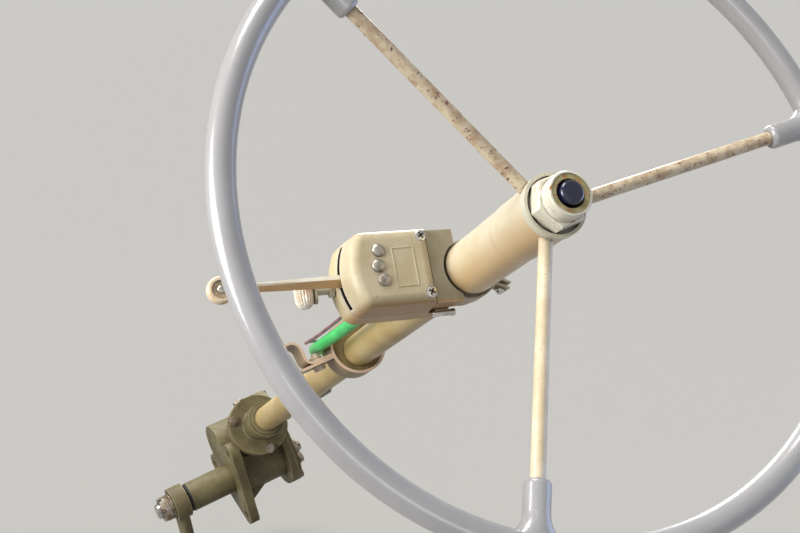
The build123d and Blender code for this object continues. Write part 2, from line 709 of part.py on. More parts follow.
def wire(route, radius, label):
    """A round wire along straight runs joined by tangent arcs."""
    points = [Vector(right, off, RIM_HEIGHT - depth) for right, off, depth in route]
    radii = bend_radii(points)
    print(label, "bend radii", [round(value) for value in radii])
    path = FilletPolyline(*points, radius=radii)
    start = Plane(origin=points[0], z_dir=points[1] - points[0])
    return sweep(start * Circle(radius), path=path)


loom_part = wire(LOOM_ROUTE, LOOM_R, "wire_loom")
save(loom_part, "wire_loom")
lamp_wire_part = wire(LAMP_WIRE_ROUTE, LAMP_WIRE_R, "lamp_wire")
save(lamp_wire_part, "lamp_wire")

# Connector: a block beside the jacket, held to it by a clip band
CONNECTOR_MIDDLE = (CONNECTOR_OUT, CONNECTOR_SHIFT)
with BuildPart() as loom_connector:
    with BuildSketch(under_rim(CONNECTOR_DEPTH + CONNECTOR_SIZE[2])):
        with Locations(CONNECTOR_MIDDLE):
            RectangleRounded(CONNECTOR_SIZE[0], CONNECTOR_SIZE[1], CONNECTOR_ROUND)
    extrude(amount=CONNECTOR_SIZE[2])
save(loom_connector.part, "loom_connector")

CLIP_FOOT = CONNECTOR_DEPTH + (CONNECTOR_SIZE[2] + CLIP_WIDTH) / 2
with BuildPart() as loom_clip:
    for growth, mode in ((SLIDE + CLIP_THICKNESS, Mode.ADD), (SLIDE, Mode.SUBTRACT)):
        with BuildSketch(under_rim(CLIP_FOOT)):
            Circle(JACKET_R + growth)
            with Locations(CONNECTOR_MIDDLE):
                Rectangle(CONNECTOR_SIZE[0] + 2 * growth, CONNECTOR_SIZE[1] + 2 * growth)
            make_hull()
        extrude(amount=CLIP_WIDTH, mode=mode)
save(loom_clip.part, "loom_clip")

# Dash clamp: a strip bent up to the dash on each side and a strap under it make a ring round the
# jacket, which lies in a liner there, nearer to the strap
HOOP_CENTRE = (0, EAR_LEVEL)
BOLT_PLANE = Plane(
    origin=(0, EAR_LEVEL, RIM_HEIGHT - STRIP_DEPTH + STRIP_WIDTH / 2), x_dir=(1, 0, 0), z_dir=(0, 1, 0)
)
with BuildPart() as dash_bracket:
    with BuildSketch(under_rim(STRIP_DEPTH)):
        with BuildLine():
            FilletPolyline(
                (-HOOP_R, EAR_LEVEL),
                (-RISER_OUT, EAR_LEVEL),
                (-RISER_OUT, DASH_LEVEL),
                (-DASH_REACH, DASH_LEVEL),
                radius=BEND_R,
            )
            CenterArc(HOOP_CENTRE, HOOP_R, 90, 90)
            offset(amount=STRIP_THICKNESS, side=Side.RIGHT)
        make_face()
        mirror(about=Plane.YZ)
    extrude(amount=STRIP_WIDTH)
    with BuildSketch(BOLT_PLANE):
        with Locations((-EAR_BOLT, 0), (EAR_BOLT, 0)):
            Circle(EAR_BOLT_R + SLIDE)
        with Locations((-DASH_HOLE_OUT, 0), (DASH_HOLE_OUT, 0)):
            Circle(DASH_HOLE_R)
    extrude(amount=-2 * DASH_LEVEL, both=True, mode=Mode.SUBTRACT)
save(dash_bracket.part, "dash_bracket")

with BuildPart() as dash_strap:
    with BuildSketch(under_rim(STRIP_DEPTH)):
        with BuildLine():
            CenterArc(HOOP_CENTRE, HOOP_R, -90, -90)
            Line((-HOOP_R, EAR_LEVEL), (-STRAP_REACH, EAR_LEVEL))
            offset(amount=STRIP_THICKNESS, side=Side.LEFT)
        make_face()
        mirror(about=Plane.YZ)
    extrude(amount=STRIP_WIDTH)
    with BuildSketch(BOLT_PLANE):
        with Locations((-EAR_BOLT, 0), (EAR_BOLT, 0)):
            Circle(EAR_BOLT_R + SLIDE)
    extrude(amount=2 * DASH_LEVEL, both=True, mode=Mode.SUBTRACT)
save(dash_strap.part, "dash_strap")

with BuildPart() as jacket_liner:
    with BuildSketch(under_rim(STRIP_DEPTH - LINER_IN)):
        with Locations(HOOP_CENTRE):
            Circle(HOOP_R - SLIDE)
        Circle(JACKET_R + SLIDE, mode=Mode.SUBTRACT)
    extrude(amount=STRIP_WIDTH - 2 * LINER_IN)
save(jacket_liner.part, "jacket_liner")

with BuildPart() as dash_bolts:
    with BuildSketch(BOLT_PLANE.offset(-STRIP_THICKNESS)):
        with Locations((-EAR_BOLT, 0), (EAR_BOLT, 0)):
            Circle(EAR_BOLT_R)
    extrude(amount=2 * STRIP_THICKNESS)
    with BuildSketch(BOLT_PLANE.offset(-STRIP_THICKNESS)):
        with Locations((-EAR_BOLT, 0), (EAR_BOLT, 0)):
            RegularPolygon(EAR_HEX_R, 6)
    extrude(amount=-EAR_HEX_HEIGHT)
    with BuildSketch(BOLT_PLANE.offset(STRIP_THICKNESS)):
        with Locations((-EAR_BOLT, 0), (EAR_BOLT, 0)):
            RegularPolygon(EAR_HEX_R, 6)
    extrude(amount=EAR_HEX_HEIGHT)
save(dash_bolts.part, "dash_bolts")


def rail_plane(out):
    """The plane parallel to the frame rail's face, that far to its right, with y straight up."""
    lean = radians(RAKE)
    origin = (out - COLUMN_ASIDE, -SHAFT_DROP, 0)
    return Plane(origin=origin, x_dir=(0, sin(lean), -cos(lean)), z_dir=(1, 0, 0))


def on_ring(radius, turn, centre=(0, 0)):
    """A point on a ring round a centre on the rail plane."""
    return (centre[0] + radius * cos(radians(turn)), centre[1] + radius * sin(radians(turn)))


# Gear housing: the cam's barrel on the column and the lever's chamber round the sector shaft,
# with a flange on the frame's face and a tube that carries the shaft out through the frame
COLUMN_POINT = (SHAFT_DROP * sin(radians(RAKE)), SHAFT_DROP * cos(radians(RAKE)))
HULL_TURN = 90 - RAKE  # from the sector shaft to the column
FLANGE_BOLTS = [on_ring(FLANGE_PCD / 2, turn) for turn in FLANGE_TURNS]
LIP = COVER_LIP
SHAFT_BOLTS = [on_ring(CHAMBER_SHAFT_R + LIP / 2, HULL_TURN + 180 + turn) for turn in COVER_BOLT_TURNS]
CAM_BOLTS = [on_ring(BARREL_R + LIP / 2, HULL_TURN + turn, COLUMN_POINT) for turn in COVER_BOLT_TURNS]
PLUG_PLANE = Plane(origin=(0, BARREL_R + PLUG_BOSS, PLUG_HEIGHT), x_dir=(1, 0, 0), z_dir=(0, 1, 0))


def rib_plane(turn):
    """The plane of a rib: x runs out from the sector shaft, y to the car's right."""
    start = rail_plane(0)
    outwards = start.x_dir * cos(radians(turn)) + start.y_dir * sin(radians(turn))
    return Plane(origin=start.origin, x_dir=outwards, z_dir=outwards.cross(start.z_dir))


with BuildPart() as gear_housing:
    with BuildSketch(Plane.XY.offset(-BARREL_DOWN)):
        Circle(BARREL_R)
    extrude(amount=BARREL_DOWN + BARREL_UP)
    fillet(gear_housing.faces().sort_by(Axis.Z)[0].edges(), BARREL_ROUND)
    with BuildSketch(Plane.XY.offset(BARREL_UP - BARREL_FLANGE)):
        Circle(BARREL_FLANGE_R)
    extrude(amount=BARREL_FLANGE)
    with BuildSketch(rail_plane(0)):
        Circle(CHAMBER_SHAFT_R)
        with Locations(COLUMN_POINT):
            Circle(BARREL_R)
        make_hull()
    extrude(amount=CHAMBER_OUT)
    with BuildSketch(rail_plane(0)):
        with Locations(*FLANGE_BOLTS):
            Circle(FLANGE_EAR_R)
        make_hull()
    extrude(amount=FLANGE_THICKNESS)
    for turn in FLANGE_TURNS:
        with BuildSketch(rib_plane(turn)):
            Polygon(
                (0, 0),
                (RIB_REACH, 0),
                (RIB_REACH, FLANGE_THICKNESS),
                (CHAMBER_SHAFT_R, RIB_RISE),
                (0, RIB_RISE),
                align=None,
            )
        extrude(amount=RIB / 2, both=True)
    with BuildSketch(PLUG_PLANE):
        Circle(PLUG_BOSS_R)
    extrude(amount=-BARREL_R)
    with BuildSketch(rail_plane(CHAMBER_OUT - COVER_FLANGE)):
        Circle(CHAMBER_SHAFT_R + LIP)
        with Locations(COLUMN_POINT):
            Circle(BARREL_R + LIP)
        make_hull()
    extrude(amount=COVER_FLANGE)
    with BuildSketch(rail_plane(-TUBE_LENGTH)):
        Circle(TUBE_R)
    extrude(amount=TUBE_LENGTH + FLANGE_THICKNESS)
    with BuildSketch(rail_plane(-TUBE_LENGTH)):
        Circle(SECTOR_R + SLIDE)
    extrude(amount=TUBE_LENGTH + SECTOR_IN + SEAT, mode=Mode.SUBTRACT)
    with BuildSketch(Plane.XY.offset(SHAFT_END - SEAT)):
        Circle(SHAFT_R + SLIDE)
    extrude(amount=BARREL_UP - SHAFT_END + SEAT, mode=Mode.SUBTRACT)
    with BuildSketch(rail_plane(0)):
        with Locations(*FLANGE_BOLTS):
            Circle(FLANGE_HOLE_R)
    extrude(amount=CHAMBER_OUT, mode=Mode.SUBTRACT)
save(gear_housing.part, "gear_housing")

with BuildPart() as side_cover:
    with BuildSketch(rail_plane(CHAMBER_OUT)):
        Circle(CHAMBER_SHAFT_R + LIP)
        with Locations(COLUMN_POINT):
            Circle(BARREL_R + LIP)
        make_hull()
    extrude(amount=SIDE_COVER)
    fillet(side_cover.faces().sort_by(Axis.X)[-1].edges(), SIDE_ROUND)
    with BuildSketch(rail_plane(CHAMBER_OUT + SIDE_COVER)):
        Circle(ADJUSTER_BOSS_R)
    extrude(amount=ADJUSTER_BOSS, taper=ADJUSTER_DRAFT)
    with BuildSketch(rail_plane(CHAMBER_OUT)):
        Circle(ADJUSTER_R + SLIDE)
    extrude(amount=SIDE_COVER + ADJUSTER_BOSS, mode=Mode.SUBTRACT)
save(side_cover.part, "side_cover")

with BuildPart() as cover_bolts:
    with BuildSketch(rail_plane(CHAMBER_OUT + SIDE_COVER)):
        with Locations(*SHAFT_BOLTS, *CAM_BOLTS):
            RegularPolygon(COVER_HEX_R, 6)
    extrude(amount=HEAD_THICKNESS)
save(cover_bolts.part, "cover_bolts")

ADJUSTER_SEAT = CHAMBER_OUT + SIDE_COVER + ADJUSTER_BOSS
with BuildPart() as adjuster_screw:
    with BuildSketch(rail_plane(CHAMBER_OUT)):
        Circle(ADJUSTER_R)
    extrude(amount=SIDE_COVER + ADJUSTER_BOSS + ADJUSTER_PROUD)
    with BuildSketch(rail_plane(ADJUSTER_SEAT + ADJUSTER_PROUD - ADJUSTER_SLOT_DEPTH)):
        Rectangle(ADJUSTER_SLOT, 4 * ADJUSTER_R)
    extrude(amount=ADJUSTER_SLOT_DEPTH, mode=Mode.SUBTRACT)
save(adjuster_screw.part, "adjuster_screw")

with BuildPart() as adjuster_nut:
    with BuildSketch(rail_plane(ADJUSTER_SEAT)):
        RegularPolygon(ADJUSTER_R * 2, 6)
        Circle(ADJUSTER_R + SLIDE, mode=Mode.SUBTRACT)
    extrude(amount=HEAD_THICKNESS)
save(adjuster_nut.part, "adjuster_nut")

# Upper cover: closes the barrel and grips the jacket in a split neck
NECK_TURNS = [NECK_BOLT_TURN + 360 / NECK_BOLT_COUNT * step for step in range(NECK_BOLT_COUNT)]
NECK_BOLTS = [on_ring(NECK_BOLT_R, turn) for turn in NECK_TURNS]
with BuildPart() as upper_cover:
    with BuildSketch(Plane.XY.offset(BARREL_UP)):
        Circle(BARREL_FLANGE_R)
    extrude(amount=NECK_PLATE)
    with BuildSketch(Plane.XY.offset(NECK_FLOOR)):
        Circle(NECK_R)
    extrude(amount=NECK_LENGTH)
    neck_foot = upper_cover.edges().filter_by(GeomType.CIRCLE).group_by(Axis.Z)[1]
    fillet(neck_foot.sort_by(SortBy.RADIUS)[0], NECK_ROUND)
    with BuildSketch(Plane.XY.offset(NECK_FLOOR)):
        Circle(JACKET_R + SLIDE)
    extrude(amount=NECK_LENGTH, mode=Mode.SUBTRACT)
    with BuildSketch(Plane.XY.offset(BARREL_UP)):
        Circle(SHAFT_R + SLIDE)
    extrude(amount=NECK_PLATE, mode=Mode.SUBTRACT)
    with BuildSketch(Plane.XY.offset(NECK_FLOOR + NECK_LENGTH / 3)):
        with Locations((NECK_R, 0)):
            Rectangle(NECK_R, NECK_SPLIT)
    extrude(amount=NECK_LENGTH, mode=Mode.SUBTRACT)
save(upper_cover.part, "upper_cover")

with BuildPart() as neck_bolts:
    with BuildSketch(Plane.XY.offset(NECK_FLOOR)):
        with Locations(*NECK_BOLTS):
            RegularPolygon(NECK_HEX_R, 6)
    extrude(amount=HEAD_THICKNESS)
save(neck_bolts.part, "neck_bolts")

CLAMP_FOOT = NECK_FLOOR + NECK_LENGTH - CLAMP_BAND_WIDTH - CLAMP_DROP
CLAMP_BAND_R = NECK_R + CLAMP_BAND
CLAMP_BOLT_PLANE = Plane(
    origin=(CLAMP_BAND_R + CLAMP_LUG / 2 - CLAMP_TUCK, 0, CLAMP_FOOT + CLAMP_BAND_WIDTH / 2),
    x_dir=(1, 0, 0),
    z_dir=(0, 1, 0),
)
with BuildPart() as jacket_clamp:
    with BuildSketch(Plane.XY.offset(CLAMP_FOOT)):
        Circle(CLAMP_BAND_R)
        with Locations((CLAMP_BAND_R + CLAMP_LUG / 2 - CLAMP_TUCK, 0)):
            Rectangle(CLAMP_LUG, NECK_SPLIT + 2 * CLAMP_BAND)
        Circle(NECK_R + SLIDE, mode=Mode.SUBTRACT)
        with Locations((CLAMP_BAND_R, 0)):
            Rectangle(3 * CLAMP_LUG, NECK_SPLIT, mode=Mode.SUBTRACT)
    extrude(amount=CLAMP_BAND_WIDTH)
    with BuildSketch(CLAMP_BOLT_PLANE):
        Circle(EAR_BOLT_R + SLIDE)
    extrude(amount=CLAMP_LUG, both=True, mode=Mode.SUBTRACT)
save(jacket_clamp.part, "jacket_clamp")

LUG_FACE = NECK_SPLIT / 2 + CLAMP_BAND
with BuildPart() as clamp_bolt:
    with BuildSketch(CLAMP_BOLT_PLANE):
        Circle(EAR_BOLT_R)
    extrude(amount=LUG_FACE + EAR_HEX_HEIGHT, both=True)
    with BuildSketch(CLAMP_BOLT_PLANE.offset(LUG_FACE)):
        RegularPolygon(EAR_HEX_R, 6)
    extrude(amount=EAR_HEX_HEIGHT)
    with BuildSketch(CLAMP_BOLT_PLANE.offset(-LUG_FACE)):
        RegularPolygon(EAR_HEX_R, 6)
    extrude(amount=-EAR_HEX_HEIGHT)
save(clamp_bolt.part, "clamp_bolt")

# Filler plug on its boss, and the horn wire's tube out of the barrel's closed end
with BuildPart() as filler_plug:
    with BuildSketch(PLUG_PLANE.offset(SEAT)):
        Circle(PLUG_R)
    extrude(amount=PLUG_WASHER)
    with BuildSketch(PLUG_PLANE.offset(PLUG_WASHER + SEAT)):
        RegularPolygon(PLUG_HEX_R, 6)
    extrude(amount=HEAD_THICKNESS)
save(filler_plug.part, "filler_plug")

with BuildPart() as horn_tube:
    with BuildSketch(Plane.XY.offset(-BARREL_DOWN)):
        RegularPolygon(HORN_TUBE_R * 2, 6)
    extrude(amount=-HEAD_THICKNESS)
    with BuildSketch(Plane.XY.offset(-BARREL_DOWN)):
        Circle(HORN_TUBE_R)
    extrude(amount=-HORN_TUBE_LENGTH)
    with BuildSketch(Plane.XY.offset(-BARREL_DOWN - HORN_TUBE_LENGTH)):
        Circle(HORN_TUBE_R / 2)
    extrude(amount=HORN_TUBE_LENGTH, mode=Mode.SUBTRACT)
save(horn_tube.part, "horn_tube")

# Sector shaft, its seal, and the drop arm with its nut and ball stud
ARM_NEAR = -TUBE_LENGTH - SEAL_THICKNESS - ARM_GAP
ARM_FAR = ARM_NEAR - ARM_THICKNESS
NUT_NEAR = ARM_FAR - WASHER_THICKNESS
with BuildPart() as shaft_seal:
    with BuildSketch(rail_plane(-TUBE_LENGTH)):
        Circle(SEAL_R)
        Circle(SECTOR_R + SLIDE, mode=Mode.SUBTRACT)
    extrude(amount=-SEAL_THICKNESS)
save(shaft_seal.part, "shaft_seal")

with BuildPart() as sector_shaft:
    with BuildSketch(rail_plane(ARM_FAR)):
        Circle(SECTOR_R)
    extrude(amount=SECTOR_IN - ARM_FAR)
    with BuildSketch(rail_plane(ARM_FAR)):
        Circle(THREAD_R)
    extrude(amount=-WASHER_THICKNESS - NUT_THICKNESS - THREAD_PROUD)
    chamfer(sector_shaft.faces().sort_by(Axis.X)[0].edges(), THREAD_CHAMFER)
save(sector_shaft.part, "sector_shaft")

ARM_MIDDLE = ARM_NEAR - ARM_THICKNESS / 2
with BuildPart() as drop_arm:
    with BuildSketch(rail_plane(ARM_MIDDLE)):
        Circle(ARM_WEB_TOP_R)
        with Locations((0, -ARM_LENGTH)):
            Circle(ARM_WEB_END_R)
        make_hull()
    extrude(amount=ARM_WEB / 2, both=True)
    web_faces = drop_arm.faces().filter_by(Axis.X)
    fillet(web_faces.edges(), ARM_WEB / 3)
    with BuildSketch(rail_plane(ARM_NEAR)):
        Circle(ARM_EYE_R)
    extrude(amount=-ARM_THICKNESS)
    with BuildSketch(rail_plane(ARM_MIDDLE)):
        with Locations((0, -ARM_LENGTH)):
            Circle(ARM_END_R)
    extrude(amount=ARM_END_THICKNESS / 2, both=True)
    with BuildSketch(rail_plane(ARM_NEAR)):
        Circle(SECTOR_R + SLIDE)
        with Locations((0, -ARM_LENGTH)):
            Circle(STUD_R + SLIDE)
    extrude(amount=-ARM_THICKNESS, mode=Mode.SUBTRACT)
save(drop_arm.part, "drop_arm")

with BuildPart() as arm_nut:
    with BuildSketch(rail_plane(ARM_FAR)):
        Circle(WASHER_R)
    extrude(amount=-WASHER_THICKNESS)
    with BuildSketch(rail_plane(NUT_NEAR)):
        RegularPolygon(ARM_NUT_R, 6)
    extrude(amount=-NUT_THICKNESS)
    with BuildSketch(rail_plane(ARM_FAR)):
        Circle(THREAD_R + SLIDE)
    extrude(amount=-WASHER_THICKNESS - NUT_THICKNESS, mode=Mode.SUBTRACT)
save(arm_nut.part, "arm_nut")

STUD_NEAR = ARM_MIDDLE + ARM_END_THICKNESS / 2
STUD_FAR = ARM_MIDDLE - ARM_END_THICKNESS / 2
STUD_SIDE = Plane(
    origin=rail_plane(0).from_local_coords(Vector(0, -ARM_LENGTH, 0)),
    x_dir=rail_plane(0).x_dir,
    z_dir=rail_plane(0).y_dir,
)  # y runs out from the frame
BALL_CENTRE = BALL_OUT - STUD_FAR
BALL_START = BALL_CENTRE - sqrt(BALL_R**2 - BALL_NECK_R**2)
with BuildPart() as ball_stud:
    with BuildSketch(STUD_SIDE):
        with BuildLine():
            Polyline(
                (0, BALL_CENTRE + BALL_R),
                (0, -STUD_NEAR - STUD_NUT - STUD_PROUD),
                (STUD_R, -STUD_NEAR - STUD_NUT - STUD_PROUD),
                (STUD_R, -STUD_FAR),
                (BALL_COLLAR_R, -STUD_FAR),
                (BALL_COLLAR_R, -STUD_FAR + BALL_COLLAR),
                (BALL_NECK_R, -STUD_FAR + BALL_COLLAR),
                (BALL_NECK_R, BALL_START),
            )
            ThreePointArc((BALL_NECK_R, BALL_START), (BALL_R, BALL_CENTRE), (0, BALL_CENTRE + BALL_R))
        make_face()
    revolve(axis=Axis(STUD_SIDE.origin, (-1, 0, 0)))
save(ball_stud.part, "ball_stud")

with BuildPart() as stud_nut:
    with BuildSketch(rail_plane(STUD_NEAR)):
        with Locations((0, -ARM_LENGTH)):
            RegularPolygon(STUD_NUT_R, 6)
            Circle(STUD_R + SLIDE, mode=Mode.SUBTRACT)
    extrude(amount=STUD_NUT)
save(stud_nut.part, "stud_nut")
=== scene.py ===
import json
from math import cos, pi, radians, sin

import bpy
from mathutils import Matrix, Vector


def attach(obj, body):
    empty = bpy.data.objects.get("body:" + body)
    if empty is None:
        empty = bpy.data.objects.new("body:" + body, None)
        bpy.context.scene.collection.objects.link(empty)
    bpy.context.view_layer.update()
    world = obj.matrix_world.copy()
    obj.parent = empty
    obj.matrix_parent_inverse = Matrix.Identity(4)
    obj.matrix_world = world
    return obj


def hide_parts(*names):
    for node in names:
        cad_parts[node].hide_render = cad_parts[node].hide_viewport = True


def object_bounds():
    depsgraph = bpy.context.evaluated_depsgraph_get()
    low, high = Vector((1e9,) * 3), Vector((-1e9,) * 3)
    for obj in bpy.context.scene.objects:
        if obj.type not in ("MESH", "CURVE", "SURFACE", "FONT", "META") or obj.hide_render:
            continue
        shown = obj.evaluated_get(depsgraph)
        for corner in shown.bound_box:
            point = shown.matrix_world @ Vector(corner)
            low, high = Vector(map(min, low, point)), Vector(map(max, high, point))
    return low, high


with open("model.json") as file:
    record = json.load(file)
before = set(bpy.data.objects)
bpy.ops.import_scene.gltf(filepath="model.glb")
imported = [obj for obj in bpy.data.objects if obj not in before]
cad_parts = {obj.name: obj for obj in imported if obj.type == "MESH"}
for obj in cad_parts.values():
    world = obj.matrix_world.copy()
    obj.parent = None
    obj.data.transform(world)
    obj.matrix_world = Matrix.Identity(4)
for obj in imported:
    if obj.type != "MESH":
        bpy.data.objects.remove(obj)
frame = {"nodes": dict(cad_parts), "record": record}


def box_lists(box):
    """The two corners of a box as plain lists."""
    return [[float(value) for value in corner] for corner in box]


cad_box = box_lists(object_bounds())

# Where things lie, in metres: the column leans back from the gear, and depths are measured down
# it from the plane of the wheel's rim. Directions on the switch run out from the column and across.
MM = 0.001
RAKE = radians(42)
COLUMN_ASIDE = 46 * MM
SHAFT_DROP = 44 * MM
RIM_HEIGHT = 914 * MM
RIGHT = Vector((1, 0, 0))
FORWARD = Vector((0, 1, 0))
UP_COLUMN = Vector((0, -cos(RAKE), sin(RAKE)))
OFF_COLUMN = Vector((0, sin(RAKE), cos(RAKE)))
FOOT = RIGHT * COLUMN_ASIDE + OFF_COLUMN * SHAFT_DROP
SWITCH_TURN = radians(162.9)


def around(turn):
    """The direction square to the column at an angle from the car's right."""
    return RIGHT * cos(turn) + OFF_COLUMN * sin(turn)


SWITCH_OUT = around(SWITCH_TURN)
SWITCH_ACROSS = around(SWITCH_TURN + pi / 2)


def down_column(depth):
    """The point on the column's axis at a depth under the rim's plane."""
    return FOOT + UP_COLUMN * (RIM_HEIGHT - depth)


def spot(place, x_axis, z_axis):
    """The frame at a place whose x and z run along two square directions."""
    y_axis = z_axis.cross(x_axis)
    return Matrix.Translation(place) @ Matrix((x_axis, y_axis, z_axis)).transposed().to_4x4()


def on_switch(out, across, depth):
    """The frame on the switch at a place in mm, with x outwards and z up the column."""
    place = down_column(depth * MM) + SWITCH_OUT * out * MM + SWITCH_ACROSS * across * MM
    return spot(place, SWITCH_OUT, UP_COLUMN)


def on_rail(out, forward, up, facing=1):
    """The frame on a plane parallel to the frame rail, in mm, facing to the car's right or left."""
    place = Vector((out, forward, up)) * MM
    return spot(place, FORWARD, RIGHT * facing)


# Node helpers
def shade(red, green, blue):
    """A colour as it looks, 0 to 255, turned into the values that the shader works in."""

    def linear(value):
        part = value / 255
        return part / 12.92 if part <= 0.04045 else ((part + 0.055) / 1.055) ** 2.4

    return (linear(red), linear(green), linear(blue), 1)


def new_group(name, inputs, outputs):
    """A node group with its named sockets, and the nodes that bring them in and out."""
    group = bpy.data.node_groups.new(name, "ShaderNodeTree")
    for label, kind, value in inputs:
        socket = group.interface.new_socket(name=label, in_out="INPUT", socket_type=kind)
        if value is not None:
            socket.default_value = value
    for label, kind in outputs:
        group.interface.new_socket(name=label, in_out="OUTPUT", socket_type=kind)
    return group, node(group, "NodeGroupInput").outputs, node(group, "NodeGroupOutput").inputs


def node(tree, kind, values=(), **settings):
    """Adds a node with its settings and the values of its unlinked sockets."""
    made = tree.nodes.new(kind)
    for name, value in settings.items():
        setattr(made, name, value)
    for name, value in dict(values).items():
        made.inputs[name].default_value = value
    return made


def feed(tree, operand, socket):
    """Links a socket to another, or gives it a plain value."""
    if isinstance(operand, bpy.types.NodeSocket):
        tree.links.new(operand, socket)
    else:
        socket.default_value = operand


def math_node(tree, operation, first, second=0.0, clamp=False):
    """A Math node whose operands are sockets or plain numbers."""
    made = node(tree, "ShaderNodeMath", operation=operation, use_clamp=clamp)
    feed(tree, first, made.inputs[0])
    feed(tree, second, made.inputs[1])
    return made.outputs[0]


def mix_colors(tree, factor, first, second):
    """A colour mix whose inputs are sockets or plain colours."""
    made = node(tree, "ShaderNodeMix", data_type="RGBA")
    for index, operand in ((0, factor), (6, first), (7, second)):
        feed(tree, operand, made.inputs[index])
    return made.outputs[2]


def step_up(tree, value, low, high):
    """Rises smoothly from 0 to 1 as the value goes from low to high."""
    made = node(tree, "ShaderNodeMapRange", interpolation_type="SMOOTHSTEP")
    for name, operand in (("Value", value), ("From Min", low), ("From Max", high)):
        feed(tree, operand, made.inputs[name])
    return made.outputs["Result"]


def noise(tree, vector, scale, detail=3.0, roughness=0.5):
    """A noise value over the surface."""
    made = node(tree, "ShaderNodeTexNoise", {"Detail": detail, "Roughness": roughness})
    tree.links.new(vector, made.inputs["Vector"])
    feed(tree, scale, made.inputs["Scale"])
    return made.outputs["Fac"]


# Shared effects
def make_edge_group():
    """Worn edges, on the switch partly a painted highlight: a mask where the surface turns sharply, broken up
    by noise.
    """
    group, given, result = new_group(
        "edge wear and highlight",
        (
            ("Vector", "NodeSocketVector", None),
            ("Width", "NodeSocketFloat", 0.001),
            ("Amount", "NodeSocketFloat", 1.0),
        ),
        (("Mask", "NodeSocketFloat"),),
    )
    bevel = node(group, "ShaderNodeBevel", samples=6)
    group.links.new(given["Width"], bevel.inputs["Radius"])
    geometry = node(group, "ShaderNodeNewGeometry")
    dot = node(group, "ShaderNodeVectorMath", operation="DOT_PRODUCT")
    group.links.new(bevel.outputs["Normal"], dot.inputs[0])
    group.links.new(geometry.outputs["Normal"], dot.inputs[1])
    turned = math_node(group, "SUBTRACT", 1.0, dot.outputs["Value"])
    broken = math_node(group, "MULTIPLY", noise(group, given["Vector"], 260, 4, 0.65), 2.2)
    mask = step_up(group, math_node(group, "MULTIPLY", turned, broken), 0.03, 0.16)
    scaled = math_node(group, "MULTIPLY", mask, given["Amount"], clamp=True)
    group.links.new(scaled, result["Mask"])
    return group


def make_crevice_dirt_and_shade_group():
    """Darkening in corners and gaps, partly dirt and partly painted shade: a mask where the surface is closed
    in.
    """
    group, given, result = new_group(
        "crevice dirt and painted shade",
        (
            ("Vector", "NodeSocketVector", None),
            ("Reach", "NodeSocketFloat", 0.003),
            ("Amount", "NodeSocketFloat", 1.0),
        ),
        (("Mask", "NodeSocketFloat"),),
    )
    closed = node(group, "ShaderNodeAmbientOcclusion", samples=6)
    group.links.new(given["Reach"], closed.inputs["Distance"])
    hidden = math_node(group, "SUBTRACT", 1.0, closed.outputs["AO"])
    uneven = math_node(group, "ADD", noise(group, given["Vector"], 180, 3, 0.6), 0.45)
    mask = step_up(group, math_node(group, "MULTIPLY", hidden, uneven), 0.22, 0.7)
    scaled = math_node(group, "MULTIPLY", mask, given["Amount"], clamp=True)
    group.links.new(scaled, result["Mask"])
    return group


def make_beyond_group():
    """A mask that rises past a plane square to an axis, between two distances along it."""
    group, given, result = new_group(
        "beyond a plane",
        (
            ("Vector", "NodeSocketVector", None),
            ("Axis", "NodeSocketVector", None),
            ("Start", "NodeSocketFloat", 0.0),
            ("End", "NodeSocketFloat", 1.0),
        ),
        (("Mask", "NodeSocketFloat"),),
    )
    dot = node(group, "ShaderNodeVectorMath", operation="DOT_PRODUCT")
    group.links.new(given["Vector"], dot.inputs[0])
    group.links.new(given["Axis"], dot.inputs[1])
    mask = step_up(group, dot.outputs["Value"], given["Start"], given["End"])
    group.links.new(mask, result["Mask"])
    return group


def make_stretch_group():
    """Squeezes a pattern along an axis, so that its marks run round it as scratches."""
    group, given, result = new_group(
        "marks round an axis",
        (
            ("Vector", "NodeSocketVector", None),
            ("Axis", "NodeSocketVector", None),
            ("Times", "NodeSocketFloat", 5.0),
        ),
        (("Vector", "NodeSocketVector"),),
    )
    dot = node(group, "ShaderNodeVectorMath", operation="DOT_PRODUCT")
    group.links.new(given["Vector"], dot.inputs[0])
    group.links.new(given["Axis"], dot.inputs[1])
    along = node(group, "ShaderNodeVectorMath", operation="SCALE")
    group.links.new(given["Axis"], along.inputs[0])
    extra = math_node(group, "MULTIPLY", dot.outputs["Value"], given["Times"])
    group.links.new(extra, along.inputs["Scale"])
    moved = node(group, "ShaderNodeVectorMath", operation="ADD")
    group.links.new(given["Vector"], moved.inputs[0])
    group.links.new(along.outputs["Vector"], moved.inputs[1])
    group.links.new(moved.outputs["Vector"], result["Vector"])
    return group


